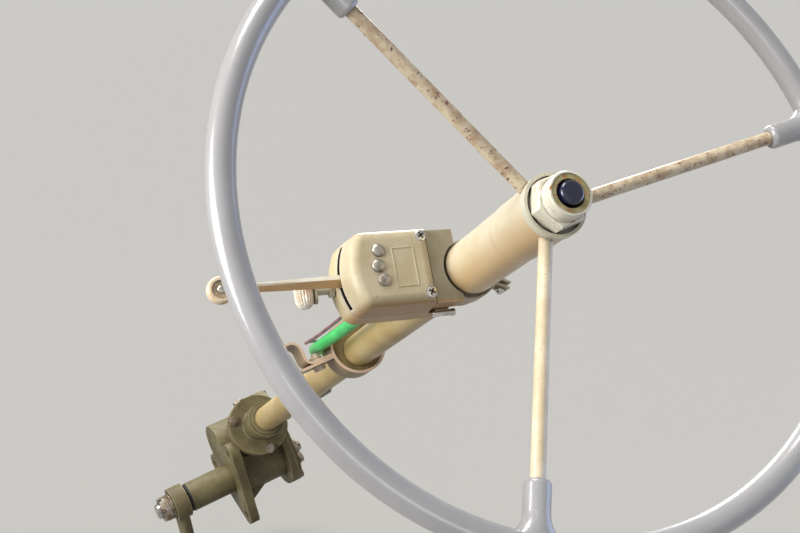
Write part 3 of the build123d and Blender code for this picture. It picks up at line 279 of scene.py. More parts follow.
def make_paint_group():
    """Aged paint: two tones in soft patches, specks down to the metal, worn edges that on the switch are
    partly a painted highlight, and darkening in corners that is partly dirt and partly painted shade.
    """
    group, given, result = new_group(
        "aged paint",
        (
            ("Vector", "NodeSocketVector", None),
            ("Speck Vector", "NodeSocketVector", None),
            ("Paint", "NodeSocketColor", None),
            ("Second Tone", "NodeSocketColor", None),
            ("Bare", "NodeSocketColor", None),
            ("Edge Tone", "NodeSocketColor", None),
            ("Dirt And Shade", "NodeSocketColor", None),
            ("Patch Scale", "NodeSocketFloat", 30.0),
            ("Patches", "NodeSocketFloat", 0.5),
            ("Speck Scale", "NodeSocketFloat", 400.0),
            ("Specks", "NodeSocketFloat", 0.2),
            ("Edges", "NodeSocketFloat", 0.0),
            ("Crevice Dirt And Shade", "NodeSocketFloat", 0.0),
            ("Gloss", "NodeSocketFloat", 0.4),
        ),
        (
            ("Color", "NodeSocketColor"),
            ("Roughness", "NodeSocketFloat"),
            ("Height", "NodeSocketFloat"),
        ),
    )
    vector = given["Vector"]
    patches = step_up(group, noise(group, vector, given["Patch Scale"], 5, 0.62), 0.36, 0.64)
    toned = mix_colors(
        group, math_node(group, "MULTIPLY", patches, given["Patches"]), given["Paint"], given["Second Tone"]
    )
    edged = mix_colors(group, given["Edges"], toned, given["Edge Tone"])
    limit = math_node(group, "SUBTRACT", 0.76, math_node(group, "MULTIPLY", given["Specks"], 0.3))
    specks = step_up(
        group, noise(group, given["Speck Vector"], given["Speck Scale"], 3, 0.7), limit,
        math_node(group, "ADD", limit, 0.03),
    )
    worn = mix_colors(group, specks, edged, given["Bare"])
    dirty_and_shaded = mix_colors(group, given["Crevice Dirt And Shade"], worn, given["Dirt And Shade"])
    group.links.new(dirty_and_shaded, result["Color"])
    rough = math_node(group, "ADD", given["Gloss"], math_node(group, "MULTIPLY", patches, 0.08))
    rough = math_node(group, "ADD", rough, math_node(group, "MULTIPLY", specks, 0.25))
    rough = math_node(group, "ADD", rough, math_node(group, "MULTIPLY", given["Crevice Dirt And Shade"], 0.3), clamp=True)
    group.links.new(rough, result["Roughness"])
    fine = math_node(group, "MULTIPLY", noise(group, vector, 700, 2, 0.5), 0.35)
    chipped = math_node(group, "ADD", specks, math_node(group, "MULTIPLY", given["Edges"], 0.5))
    group.links.new(math_node(group, "SUBTRACT", fine, chipped), result["Height"])
    return group


EDGE_GROUP = make_edge_group()
CREVICE_DIRT_AND_SHADE_GROUP = make_crevice_dirt_and_shade_group()
BEYOND_GROUP = make_beyond_group()
STRETCH_GROUP = make_stretch_group()
PAINT_GROUP = make_paint_group()


def use_group(tree, group, where, values):
    """Places a shared effect in a material, with its pattern's coordinates and its values."""
    placed = node(tree, "ShaderNodeGroup", node_tree=group)
    tree.links.new(where, placed.inputs["Vector"])
    for label, value in values.items():
        feed(tree, value, placed.inputs[label])
    return placed


def start_material(name):
    """A new material with its shader and the Object coordinates that its pattern reads."""
    material = bpy.data.materials.new(name)
    material.use_nodes = True
    tree = material.node_tree
    where = node(tree, "ShaderNodeTexCoord").outputs["Object"]
    return material, tree, tree.nodes["Principled BSDF"], where


# The colour of the darkening in corners and gaps: partly dirt, partly painted shade
DIRT_AND_SHADE = shade(58, 44, 32)
RUST = shade(112, 58, 34)


def paint(
    name, color, second, gloss, bare=RUST, edge_tone=None, dirt_and_shade=DIRT_AND_SHADE, patches=(30, 0.5), specks=(400, 0.2),
    edge=(0.001, 0.4), crevice_dirt_and_shade=(0.003, 0.8), bump=0.12, coat=0.0, zones=(), drawn_out=None,
    sheen=0.5, coat_rough=0.12,
):
    """Painted metal with patches, specks, worn edges (on the switch partly a painted highlight), darkening in
    its corners for dirt and painted shade, and tones past given planes.

    patches and specks give a scale and an amount, edge and crevice_dirt_and_shade a reach in metres and an
    amount, and drawn_out an axis and how many times more the specks are squeezed along it.
    """
    material, tree, shader, where = start_material(name)
    edges = use_group(tree, EDGE_GROUP, where, {"Width": edge[0], "Amount": edge[1]})
    dirt_and_shade_in_crevices = use_group(tree, CREVICE_DIRT_AND_SHADE_GROUP, where, {"Reach": crevice_dirt_and_shade[0], "Amount": crevice_dirt_and_shade[1]})
    tone = color
    for axis, start, end, amount, zone_color in zones:
        beyond = use_group(tree, BEYOND_GROUP, where, {"Axis": axis, "Start": start, "End": end})
        share = math_node(tree, "MULTIPLY", beyond.outputs["Mask"], amount)
        tone = mix_colors(tree, share, tone, zone_color)
        second = mix_colors(tree, math_node(tree, "MULTIPLY", share, 0.8), second, zone_color)
    speck_where = where
    if drawn_out:
        squeeze = {"Axis": drawn_out[0], "Times": drawn_out[1]}
        speck_where = use_group(tree, STRETCH_GROUP, where, squeeze).outputs["Vector"]
    coat_of_paint = use_group(tree, PAINT_GROUP, where, {
        "Speck Vector": speck_where,
        "Paint": tone,
        "Second Tone": second,
        "Bare": bare,
        "Edge Tone": edge_tone or bare,
        "Dirt And Shade": dirt_and_shade,
        "Patch Scale": patches[0],
        "Patches": patches[1],
        "Speck Scale": specks[0],
        "Specks": specks[1],
        "Edges": edges.outputs["Mask"],
        "Crevice Dirt And Shade": dirt_and_shade_in_crevices.outputs["Mask"],
        "Gloss": gloss,
    })
    bumps = node(tree, "ShaderNodeBump", {"Strength": bump, "Distance": 0.0004})
    tree.links.new(coat_of_paint.outputs["Height"], bumps.inputs["Height"])
    tree.links.new(coat_of_paint.outputs["Color"], shader.inputs["Base Color"])
    tree.links.new(coat_of_paint.outputs["Roughness"], shader.inputs["Roughness"])
    tree.links.new(bumps.outputs["Normal"], shader.inputs["Normal"])
    shader.inputs["Coat Weight"].default_value = coat
    shader.inputs["Coat Roughness"].default_value = coat_rough
    shader.inputs["Specular IOR Level"].default_value = sheen
    return material


def metal(name, color, second, roughness, scale=120, bump=0.1, dirt_and_shade=DIRT_AND_SHADE, crevice_dirt_and_shade=(0.002, 0.85)):
    """Bare or plated metal with tarnish in soft spots and darkening in its corners, partly dirt and partly
    painted shade.
    """
    material, tree, shader, where = start_material(name)
    spots = step_up(tree, noise(tree, where, scale, 5, 0.65), 0.4, 0.62)
    reach = {"Reach": crevice_dirt_and_shade[0], "Amount": crevice_dirt_and_shade[1]}
    dirty_and_shaded = use_group(tree, CREVICE_DIRT_AND_SHADE_GROUP, where, reach).outputs["Mask"]
    tarnished = mix_colors(tree, spots, color, second)
    tree.links.new(mix_colors(tree, dirty_and_shaded, tarnished, dirt_and_shade), shader.inputs["Base Color"])
    rough = math_node(tree, "ADD", math_node(tree, "MULTIPLY", spots, 0.22), roughness)
    rough = math_node(tree, "ADD", rough, math_node(tree, "MULTIPLY", dirty_and_shaded, 0.3), clamp=True)
    tree.links.new(rough, shader.inputs["Roughness"])
    tree.links.new(math_node(tree, "SUBTRACT", 1.0, dirty_and_shaded), shader.inputs["Metallic"])
    bumps = node(tree, "ShaderNodeBump", {"Strength": bump, "Distance": 0.0002})
    tree.links.new(noise(tree, where, 900, 3, 0.6), bumps.inputs["Height"])
    tree.links.new(bumps.outputs["Normal"], shader.inputs["Normal"])
    return material


def moulded(name, color, second, roughness, coat=0.0, scale=90, bump=0.06, sheen=0.5):
    """Rubber, plastic or enamel with a faint change of tone and darkening in its corners, partly dust and
    partly painted shade.
    """
    material, tree, shader, where = start_material(name)
    spots = step_up(tree, noise(tree, where, scale, 4, 0.6), 0.38, 0.66)
    dusty_and_shaded = use_group(tree, CREVICE_DIRT_AND_SHADE_GROUP, where, {"Reach": 0.002, "Amount": 0.6}).outputs["Mask"]
    toned = mix_colors(tree, spots, color, second)
    tree.links.new(mix_colors(tree, dusty_and_shaded, toned, DIRT_AND_SHADE), shader.inputs["Base Color"])
    rough = math_node(tree, "ADD", math_node(tree, "MULTIPLY", spots, 0.1), roughness)
    tree.links.new(rough, shader.inputs["Roughness"])
    shader.inputs["Coat Weight"].default_value = coat
    shader.inputs["Coat Roughness"].default_value = 0.05
    shader.inputs["Specular IOR Level"].default_value = sheen
    bumps = node(tree, "ShaderNodeBump", {"Strength": bump, "Distance": 0.0003})
    tree.links.new(noise(tree, where, 500, 3, 0.6), bumps.inputs["Height"])
    tree.links.new(bumps.outputs["Normal"], shader.inputs["Normal"])
    return material


def level(depth):
    """How far up the column's direction a depth in mm lies."""
    return down_column(depth * MM).dot(UP_COLUMN)


def past(axis, distance):
    """How far along an axis a plane lies that is a distance in mm past the column's own axis."""
    return FOOT.dot(axis) + distance * MM


# The switch's wall that faces down, in the shade: how far across it lies; the tones given past it are painted
# shade
LOWER_WALL = past(SWITCH_ACROSS, 26.5)

# Finishes
RIM_ENAMEL = paint(
    "satin silver grey enamel", shade(156, 155, 156), shade(140, 138, 138), 0.3, bare=shade(120, 108, 92),
    patches=(18, 0.45), specks=(150, 0.05), edge=(0.0008, 0.0), crevice_dirt_and_shade=(0.004, 0.6), bump=0.05, coat=0.75,
)
SPOKE_PAINT = paint(
    "chipped tan spoke paint", shade(222, 206, 176), shade(172, 142, 108), 0.26, bare=shade(118, 68, 66),
    patches=(120, 0.85), specks=(330, 0.52), edge=(0.0008, 0.0), crevice_dirt_and_shade=(0.004, 0.8), bump=0.08, coat=0.6,
    coat_rough=0.15,
)
CLEAN_SPOKE_PAINT = paint(
    "cleaner tan spoke paint", shade(226, 212, 184), shade(198, 174, 134), 0.3, bare=shade(150, 92, 66),
    patches=(60, 0.6), specks=(330, 0.3), edge=(0.0008, 0.0), crevice_dirt_and_shade=(0.004, 0.8), bump=0.06, coat=0.4,
    coat_rough=0.28,
)
HUB_PAINT = paint(
    "cream sand hub paint", shade(214, 201, 174), shade(202, 182, 144), 0.32, bare=shade(150, 96, 52),
    edge_tone=shade(238, 230, 208), patches=(24, 0.6), specks=(240, 0.16), edge=(0.0014, 0.7),
    crevice_dirt_and_shade=(0.004, 0.85), coat=0.25, bump=0.2,
    zones=(
        # The tan on the hub's lower side is painted shade
        (SWITCH_ACROSS, past(SWITCH_ACROSS, -4), past(SWITCH_ACROSS, 20), 0.8, shade(206, 166, 104)),
        (UP_COLUMN, level(17.6), level(17), 0.9, shade(206, 204, 186)),
    ),
)
NUT_PAINT = paint(
    "worn cream nut paint", shade(230, 226, 208), shade(214, 206, 176), 0.34, bare=shade(176, 122, 70),
    edge_tone=shade(242, 238, 224), patches=(70, 0.5), specks=(120, 0.5), edge=(0.001, 0.6),
    crevice_dirt_and_shade=(0.003, 0.85), coat=0.2, drawn_out=(UP_COLUMN, 7),
)
# The switch's pale edge tone is partly wear and partly a painted highlight on its rounded edges
SWITCH_PAINT = paint(
    "sand switch paint", shade(196, 184, 156), shade(178, 162, 126), 0.36, bare=shade(140, 112, 72),
    edge_tone=shade(234, 229, 214), patches=(46, 0.6), specks=(320, 0.16), edge=(0.003, 0.42),
    crevice_dirt_and_shade=(0.0035, 0.9), bump=0.32, coat=0.04, sheen=0.35,
    # The warm brown past the lower wall is painted shade
    zones=((SWITCH_ACROSS, LOWER_WALL - 6 * MM, LOWER_WALL - 1 * MM, 0.9, shade(172, 126, 74)),),
)
FRAME_PAINT = paint(
    "raised frame paint", shade(200, 189, 162), shade(182, 167, 132), 0.4, bare=shade(140, 112, 72),
    patches=(46, 0.6), specks=(320, 0.16), edge=(0.0005, 0.0), crevice_dirt_and_shade=(0.001, 0.3), bump=0.2, sheen=0.3,
)
BASE_PAINT = paint(
    "greyer switch base paint", shade(164, 157, 136), shade(146, 136, 110), 0.38, bare=shade(140, 112, 72),
    edge_tone=shade(216, 208, 188), patches=(46, 0.6), specks=(320, 0.18), edge=(0.0014, 0.5),
    crevice_dirt_and_shade=(0.0035, 0.9), bump=0.2, coat=0.04, sheen=0.3,
    zones=(
        (SWITCH_OUT, past(SWITCH_OUT, 40), past(SWITCH_OUT, 70), 0.9, shade(206, 188, 146)),
        # The warm brown on the base's lower wall is painted shade
        (SWITCH_ACROSS, LOWER_WALL - 6 * MM, LOWER_WALL - 1 * MM, 0.9, shade(184, 140, 86)),
    ),
)
COLUMN_PAINT = paint(
    "taupe olive column paint", shade(184, 162, 112), shade(158, 132, 82), 0.42, bare=shade(96, 74, 46),
    edge_tone=shade(206, 184, 152), patches=(20, 0.6), specks=(220, 0.14), edge=(0.0012, 0.6),
    crevice_dirt_and_shade=(0.004, 0.8), coat=0.1,
)
DASH_PAINT = paint(
    "taupe dash clamp paint", shade(146, 124, 92), shade(122, 102, 74), 0.42, bare=shade(96, 70, 46),
    edge_tone=shade(214, 186, 160), patches=(30, 0.6), specks=(220, 0.2), edge=(0.0012, 0.8),
    crevice_dirt_and_shade=(0.004, 0.85), coat=0.1,
    zones=((UP_COLUMN, level(412.7), level(412.2), 0.9, shade(218, 188, 164)),),
)
GEAR_PAINT = paint(
    "olive drab on rough casting", shade(112, 104, 70), shade(84, 74, 48), 0.52, bare=shade(84, 54, 34),
    edge_tone=shade(158, 146, 110), patches=(34, 0.85), specks=(190, 0.3), edge=(0.0018, 0.8),
    crevice_dirt_and_shade=(0.008, 0.95), bump=0.8,
)
LEVER_PAINT = paint(
    "worn lever paint with painted shade below", shade(244, 240, 226), shade(224, 208, 178), 0.34, bare=shade(112, 66, 38),
    edge_tone=shade(240, 232, 212), patches=(90, 0.5), specks=(340, 0.2), edge=(0.0006, 0.5),
    crevice_dirt_and_shade=(0.002, 0.8), coat=0.2,
    # The brown on the lever's lower bevel is painted shade
    zones=((SWITCH_ACROSS, past(SWITCH_ACROSS, -2.1), past(SWITCH_ACROSS, -1.5), 0.95, shade(188, 146, 92)),),
)
KNOB_PAINT = paint(
    "cream knob paint", shade(232, 214, 182), shade(206, 170, 128), 0.36, bare=shade(150, 104, 66),
    edge_tone=shade(242, 232, 212), dirt_and_shade=shade(128, 118, 106), patches=(260, 0.6), specks=(420, 0.3),
    edge=(0.0009, 0.6), crevice_dirt_and_shade=(0.005, 0.9), coat=0.2, bump=0.3,
)
HOLDER_PAINT = paint(
    "grey green holder paint", shade(192, 188, 170), shade(150, 140, 112), 0.36,
    edge_tone=shade(214, 208, 186), patches=(80, 0.6), specks=(300, 0.2), edge=(0.0007, 0.6),
    crevice_dirt_and_shade=(0.002, 0.8),
)
BOLT_PAINT = paint(
    "painted bolt", shade(232, 216, 202), shade(206, 180, 156), 0.4, edge_tone=shade(240, 230, 218),
    patches=(160, 0.6), specks=(380, 0.22), edge=(0.0006, 0.7), crevice_dirt_and_shade=(0.001, 0.4),
)
BOLT_STEEL = metal("dull plated bolt steel", shade(158, 152, 142), shade(116, 98, 76), 0.38)
# The dark ring round each rivet is partly dirt and partly painted shade
RIVET_METAL = metal(
    "bare rivet alloy", shade(186, 181, 173), shade(140, 132, 122), 0.36, crevice_dirt_and_shade=(0.003, 1.0),
)
RING_PAINT = paint(
    "tarnished contact ring", shade(186, 176, 132), shade(152, 134, 84), 0.4, bare=shade(186, 112, 56),
    edge_tone=shade(206, 194, 150), patches=(160, 0.7), specks=(220, 0.56), edge=(0.0008, 0.5),
    crevice_dirt_and_shade=(0.003, 0.9), coat=0.2,
)
# The dark red in the screws' corners is partly old paint and partly painted shade
SCREW_STEEL = metal(
    "bright screw steel", shade(206, 204, 200), shade(168, 160, 152), 0.24, dirt_and_shade=shade(64, 20, 18),
    crevice_dirt_and_shade=(0.0009, 1.0),
)
SHAFT_STEEL = metal("oiled ground steel", shade(180, 178, 174), shade(140, 134, 124), 0.24)
BRASS = metal("dull brass", shade(188, 176, 130), shade(166, 124, 72), 0.34, scale=260)
BRONZE = metal("oiled bronze", shade(150, 116, 64), shade(104, 78, 44), 0.35)
BUTTON = moulded(
    "glossy navy button", shade(10, 15, 44), shade(16, 24, 60), 0.12, coat=0.8, bump=0.0, sheen=0.4,
)
LENS = moulded(
    "ribbed cream lens", shade(244, 236, 222), shade(228, 206, 180), 0.22, coat=0.5, scale=160,
)
LOOM_GREEN = moulded(
    "bright green sleeve", shade(78, 206, 112), shade(52, 178, 90), 0.38, coat=0.25, scale=40,
)
WIRE_BROWN = moulded("faded red brown wire", shade(132, 98, 104), shade(104, 74, 78), 0.45)
CONNECTOR = moulded("black moulding", shade(40, 40, 40), shade(52, 50, 47), 0.42)
SEAL = moulded("black seal", shade(26, 26, 26), shade(34, 32, 30), 0.6)
LINER = moulded("painted liner", shade(156, 136, 92), shade(132, 112, 74), 0.6)
SLOT_SHADOW = moulded("painted shadow inside the switch's slot", shade(22, 19, 17), shade(30, 26, 22), 0.8)
SCREW_RED = moulded("old red paint in the screws", shade(84, 24, 26), shade(58, 22, 22), 0.6)

FINISHES = {
    "rim_enamel": RIM_ENAMEL,
    "spoke_paint": SPOKE_PAINT,
    "hub_paint": HUB_PAINT,
    "switch_paint": SWITCH_PAINT,
    "column_paint": COLUMN_PAINT,
    "gear_paint": GEAR_PAINT,
    "bolt_steel": BOLT_STEEL,
    "shaft_steel": SHAFT_STEEL,
    "brass": BRASS,
    "bearing": BRONZE,
    "button": BUTTON,
    "lever_paint": LEVER_PAINT,
    "lens": LENS,
    "loom_green": LOOM_GREEN,
    "wire_dark": WIRE_BROWN,
    "connector": CONNECTOR,
    "seal": SEAL,
    "liner": LINER,
}
# Nodes whose own finish differs from the rest of their slot
OWN_FINISHES = {
    "spoke_3": CLEAN_SPOKE_PAINT,
    "hub_nut": NUT_PAINT,
    "lamp_holder": HOLDER_PAINT,
    "switch_base": BASE_PAINT,
    "lever_knob": KNOB_PAINT,
    "dash_bracket": DASH_PAINT,
    "dash_strap": DASH_PAINT,
    "horn_ring": RING_PAINT,
}

for part in frame["record"]["subparts"]:
    mesh = frame["nodes"][part["node"]].data
    mesh.materials.clear()
    mesh.materials.append(OWN_FINISHES.get(part["node"], FINISHES[part["material_slot"]]))


# Modelling helpers: faces that meet at more than these angles keep a sharp edge between them
SHARP = radians(32)
SHARP_ON_RIBS = radians(40)


def take(*pieces):
    """Selects these pieces alone and makes the first one active."""
    bpy.ops.object.select_all(action="DESELECT")
    for piece in pieces:
        piece.select_set(True)
    bpy.context.view_layer.objects.active = pieces[0]


def primitive(add, **settings):
    """Adds a primitive with nothing else selected."""
    bpy.ops.object.select_all(action="DESELECT")
    add(**settings)
    return bpy.context.object


def disc(radius, height, foot=0.0, sides=48):
    """An upright round or many-sided blank that stands on a level."""
    return primitive(
        bpy.ops.mesh.primitive_cylinder_add, vertices=sides, radius=radius, depth=height,
        location=(0, 0, foot + height / 2),
    )


def block(size, middle=(0, 0, 0)):
    """A square blank of a size round a point."""
    return primitive(bpy.ops.mesh.primitive_cube_add, size=1, scale=size, location=middle)


def settle(piece):
    """Writes a piece's place, turn and scale into its mesh."""
    take(piece)
    bpy.ops.object.transform_apply(location=True, rotation=True, scale=True)


def apply_modifier(piece, kind, **settings):
    """Adds a modifier with its settings and applies it."""
    modifier = piece.modifiers.new(kind.lower(), kind)
    for name, value in settings.items():
        setattr(modifier, name, value)
    take(piece)
    bpy.ops.object.modifier_apply(modifier=modifier.name)


def cut(piece, tool, operation="DIFFERENCE"):
    """Cuts or trims a piece with a tool, which is then gone."""
    apply_modifier(piece, "BOOLEAN", operation=operation, solver="EXACT", object=tool)
    bpy.data.objects.remove(tool)


def soften(piece, width, segments=2):
    """Rounds a piece's sharp edges and shades its round faces smooth."""
    apply_modifier(piece, "BEVEL", width=width, segments=segments, limit_method="ANGLE", angle_limit=SHARP)
    take(piece)
    bpy.ops.object.shade_smooth_by_angle(angle=SHARP)


def edit_top(piece):
    """Goes into edit mode with only the top face selected."""
    take(piece)
    bpy.ops.object.mode_set(mode="EDIT")
    bpy.ops.mesh.select_mode(type="FACE")
    bpy.ops.mesh.select_all(action="DESELECT")
    bpy.ops.object.mode_set(mode="OBJECT")
    highest = max(polygon.center.z for polygon in piece.data.polygons)
    for polygon in piece.data.polygons:
        polygon.select = polygon.center.z > highest - 1e-6
    bpy.ops.object.mode_set(mode="EDIT")


def dome(piece, steps):
    """Builds rings up from a piece's top face: how far each comes in and rises."""
    edit_top(piece)
    for inwards, rise in steps:
        bpy.ops.mesh.inset(thickness=inwards, depth=rise)
    bpy.ops.object.mode_set(mode="OBJECT")


def join(pieces, name):
    """Joins pieces into one and names it."""
    take(*pieces)
    if len(pieces) > 1:
        bpy.ops.object.join()
    joined = bpy.context.object
    joined.name = name
    joined.data.name = name
    return joined


def set_out(model, spots, name):
    """Copies a model to each place, each copy with its own mesh, and joins the copies."""
    settle(model)
    copies = []
    for place in spots:
        copy = model.copy()
        copy.data = model.data.copy()
        bpy.context.collection.objects.link(copy)
        copy.matrix_world = place
        settle(copy)
        copies.append(copy)
    bpy.data.objects.remove(model)
    return join(copies, name)


def hand_over(piece, body, slot, finish, *nodes):
    """Gives a piece its finish and its body, and hides the CAD nodes it stands for."""
    piece.data.materials.clear()
    piece.data.materials.append(finish)
    if nodes:
        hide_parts(*nodes)
    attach(piece, body)


# Hexagons: their cone's slope, flat over corner, and the crown's share of the flat
CHAMFER = radians(30)
HEX_FLAT = cos(radians(30))
CROWN = 0.97


def hexagon(corner_r, height, foot=0.0):
    """A hexagon head or nut whose corners are turned off by a cone, as on a real one."""
    blank = disc(corner_r, height, foot, sides=6)
    crown = corner_r * HEX_FLAT * CROWN
    cone = primitive(
        bpy.ops.mesh.primitive_cone_add, vertices=64, radius2=crown, depth=height,
        radius1=crown + height / sin(CHAMFER) * cos(CHAMFER), location=(0, 0, foot + height / 2),
    )
    cut(blank, cone, "INTERSECT")
    return blank


HEAD_ROUND = 0.18 * MM
NUT_ROUND = 0.25 * MM
WASHER_OVER = 1.06  # its radius over the corners'
WASHER_ROUND = 0.25 * MM
THREAD_PITCH = 1.25 * MM


def bolt_head(corner_r, height, washer=0.0, thread_r=0.0, thread_out=0.0):
    """A hexagon on its washer, with the end of its thread where one shows."""
    head = hexagon(corner_r, height - washer, washer)
    soften(head, HEAD_ROUND)
    pieces = [head]
    if washer:
        ring = disc(corner_r * WASHER_OVER, washer)
        soften(ring, WASHER_ROUND)
        pieces.append(ring)
    if thread_out:
        pieces.append(thread(thread_r, height - 0.5 * MM, height + thread_out))
    return join(pieces, "bolt head")


def thread(radius, foot, top):
    """The end of a thread: its ridges one above the other."""
    core_r = radius * 0.9
    rod = disc(core_r, top - foot, foot, sides=32)
    dome(rod, ((0.3 * MM, 0.15 * MM),))
    pieces = [rod]
    for step in range(int((top - foot) / THREAD_PITCH)):
        ridge = primitive(
            bpy.ops.mesh.primitive_torus_add, major_segments=32, minor_segments=6, major_radius=core_r,
            minor_radius=THREAD_PITCH * 0.42, location=(0, 0, foot + (step + 0.5) * THREAD_PITCH),
        )
        pieces.append(ridge)
    joined = join(pieces, "thread")
    take(joined)
    bpy.ops.object.shade_smooth_by_angle(angle=SHARP_ON_RIBS)
    return joined


# Depths on the switch, in mm: its cover's face, and the seats of its screws in that face
COVER_FACE = 135
SCREW_SEAT = 137

# Cross-head screws in the switch's cover
SCREW_R = 4.2 * MM
SCREW_EDGE = 1.3 * MM
GROOVE = (5.2 * MM, 1.2 * MM, 2 * MM)
screw = disc(SCREW_R, SCREW_EDGE, sides=56)
dome(screw, ((0.35 * MM, 0.35 * MM), (0.7 * MM, 0.38 * MM), (0.9 * MM, 0.25 * MM), (0.9 * MM, 0.12 * MM)))
for turn in (0, pi / 2):
    groove = block(GROOVE, (0, 0, 2.1 * MM))
    groove.rotation_euler = (0, 0, turn)
    settle(groove)
    cut(screw, groove)
soften(screw, 0.1 * MM)
# Each screw: out from the column, across, and how far it is turned
SCREW_PLACES = ((39.4, -23.6, 0.5), (38.4, 18, 1.1))
screw_spots = []
for out, across, turn in SCREW_PLACES:
    screw_spots.append(on_switch(out, across, SCREW_SEAT) @ Matrix.Rotation(turn, 4, "Z"))
screws = set_out(screw, screw_spots, "cover_screw_heads")
hand_over(screws, "column", "bolt_steel", SCREW_STEEL, "cover_screws")
CROSS_LONG = 5.1 * MM
CROSS_WIDE = 1.1 * MM
CROSS_THICK = 0.12 * MM
bars = []
for size in ((CROSS_LONG, CROSS_WIDE, CROSS_THICK), (CROSS_WIDE, CROSS_LONG, CROSS_THICK)):
    bars.append(block(size, (0, 0, 1.14 * MM)))
cross = set_out(join(bars, "cross"), screw_spots, "screw_recess_paint")
hand_over(cross, "column", "bolt_steel", SCREW_RED)

# Rivet caps over the cover's three raised heads
CAP_R = 4.7 * MM
cap = disc(CAP_R, 0.5 * MM, sides=40)
dome(cap, (
    (0.25 * MM, 0.9 * MM), (0.75 * MM, 0.6 * MM), (0.8 * MM, 0.42 * MM), (1.1 * MM, 0.3 * MM),
    (1 * MM, 0.1 * MM),
))
soften(cap, 0.12 * MM)
CAP_SINK = 0.1
RIVET_PLACES = ((73.2, -14.6), (75.2, -3.4), (72.4, 6.8))
cap_spots = [on_switch(out, across, COVER_FACE + CAP_SINK) for out, across in RIVET_PLACES]
rivets = set_out(cap, cap_spots, "rivet_caps")
hand_over(rivets, "column", "switch_paint", RIVET_METAL)

# Plain raised frame on the cover, with nothing in it
FRAME_WIDE = 17 * MM
FRAME_LONG = 29 * MM
FRAME_BAR = 1 * MM
FRAME_RISE = 0.4 * MM
FRAME_PLACE = (55.2, -1.6, COVER_FACE)
cover_frame = block((FRAME_WIDE, FRAME_LONG, 2 * FRAME_RISE))
settle(cover_frame)
cut(cover_frame, block((FRAME_WIDE - 2 * FRAME_BAR, FRAME_LONG - 2 * FRAME_BAR, 4 * FRAME_RISE)))
soften(cover_frame, 0.35 * MM)
cover_frame = set_out(cover_frame, [on_switch(*FRAME_PLACE)], "cover_frame")
hand_over(cover_frame, "column", "switch_paint", FRAME_PAINT)

# Indicator lens: fine ribs run from its mouth over its dome
LENS_R = 6.9 * MM
LENS_WALL = 6 * MM
LENS_RIBS = 20
RIB_IN = 0.88
LAMP_PLACE = (119.2, -1.8, 174.5)
lens = disc(LENS_R, LENS_WALL, sides=2 * LENS_RIBS)
dome(lens, (
    (0.2 * MM, 2.4 * MM), (0.45 * MM, 2.4 * MM), (0.8 * MM, 2 * MM), (1.2 * MM, 1.3 * MM),
    (1.6 * MM, 0.8 * MM), (1.5 * MM, 0.3 * MM),
))
take(lens)
bpy.ops.object.mode_set(mode="EDIT")
bpy.ops.mesh.select_mode(type="VERT")
bpy.ops.mesh.select_all(action="DESELECT")
bpy.ops.object.mode_set(mode="OBJECT")
for vertex in lens.data.vertices:
    turn = vertex.co.to_2d().angle_signed(Vector((1, 0)), 0) if vertex.co.to_2d().length else 0
    vertex.select = round(turn / (pi / LENS_RIBS)) % 2 == 1
bpy.ops.object.mode_set(mode="EDIT")
bpy.ops.transform.resize(value=(RIB_IN, RIB_IN, 1), center_override=(0, 0, 0))
bpy.ops.object.mode_set(mode="OBJECT")
take(lens)
bpy.ops.object.shade_smooth_by_angle(angle=SHARP_ON_RIBS)
lamp_spot = spot(on_switch(*LAMP_PLACE).translation, SWITCH_OUT, SWITCH_ACROSS)
lens = set_out(lens, [lamp_spot], "ribbed_lens")
hand_over(lens, "column", "lens", LENS, "lamp_lens")

# Dash clamp's bolts: a head under each ear and a nut with the thread's end over it
STRIP_DEPTH = 437 * MM
STRIP_WIDTH = 25 * MM
STRIP_THICKNESS = 2.5 * MM
EAR_LEVEL = 5 * MM
EAR_BOLT = 40 * MM
EAR_HEX = (6 * MM, 4.5 * MM, 1.1 * MM)
EAR_THREAD = (3 * MM, 2.5 * MM)
CLAMP_LEVEL = down_column(STRIP_DEPTH - STRIP_WIDTH / 2) + OFF_COLUMN * EAR_LEVEL
head_spots = []
nut_spots = []
for side in (-1, 1):
    ear = CLAMP_LEVEL + RIGHT * side * EAR_BOLT
    head_spots.append(spot(ear - OFF_COLUMN * STRIP_THICKNESS, RIGHT, -OFF_COLUMN))
    nut_spots.append(spot(ear + OFF_COLUMN * STRIP_THICKNESS, RIGHT, OFF_COLUMN))
heads = set_out(bolt_head(*EAR_HEX), head_spots, "ear heads")
nuts = set_out(bolt_head(*EAR_HEX, *EAR_THREAD), nut_spots, "ear nuts")
hand_over(join([heads, nuts], "dash_bolt_set"), "column", "bolt_steel", BOLT_PAINT, "dash_bolts")

# Side cover's six bolts, on spring washers: three round each end of the cover, in mm on its face
HULL_TURN = radians(48)
HULL_REACH = 44
SIDE_FACE = 86
NEAR_R = 34
FAR_R = 37
SPREAD = radians(62)
SIDE_HEX = (6.6 * MM, 6 * MM, 1.4 * MM)


def on_cover(middle, radius, turn):
    """The frame on the side cover's face at an angle round one end of it."""
    place = middle + Vector((cos(turn), sin(turn))) * radius
    return on_rail(SIDE_FACE, place.x, place.y)


NEAR_END = Vector((0, 0))
FAR_END = Vector((cos(HULL_TURN), sin(HULL_TURN))) * HULL_REACH
cover_spots = []
for offset in (-SPREAD, 0, SPREAD):
    cover_spots.append(on_cover(NEAR_END, NEAR_R, HULL_TURN + pi + offset))
    cover_spots.append(on_cover(FAR_END, FAR_R, HULL_TURN + offset))
cover_bolts = set_out(bolt_head(*SIDE_HEX), cover_spots, "side_cover_bolts")
hand_over(cover_bolts, "column", "bolt_steel", BOLT_STEEL, "cover_bolts")

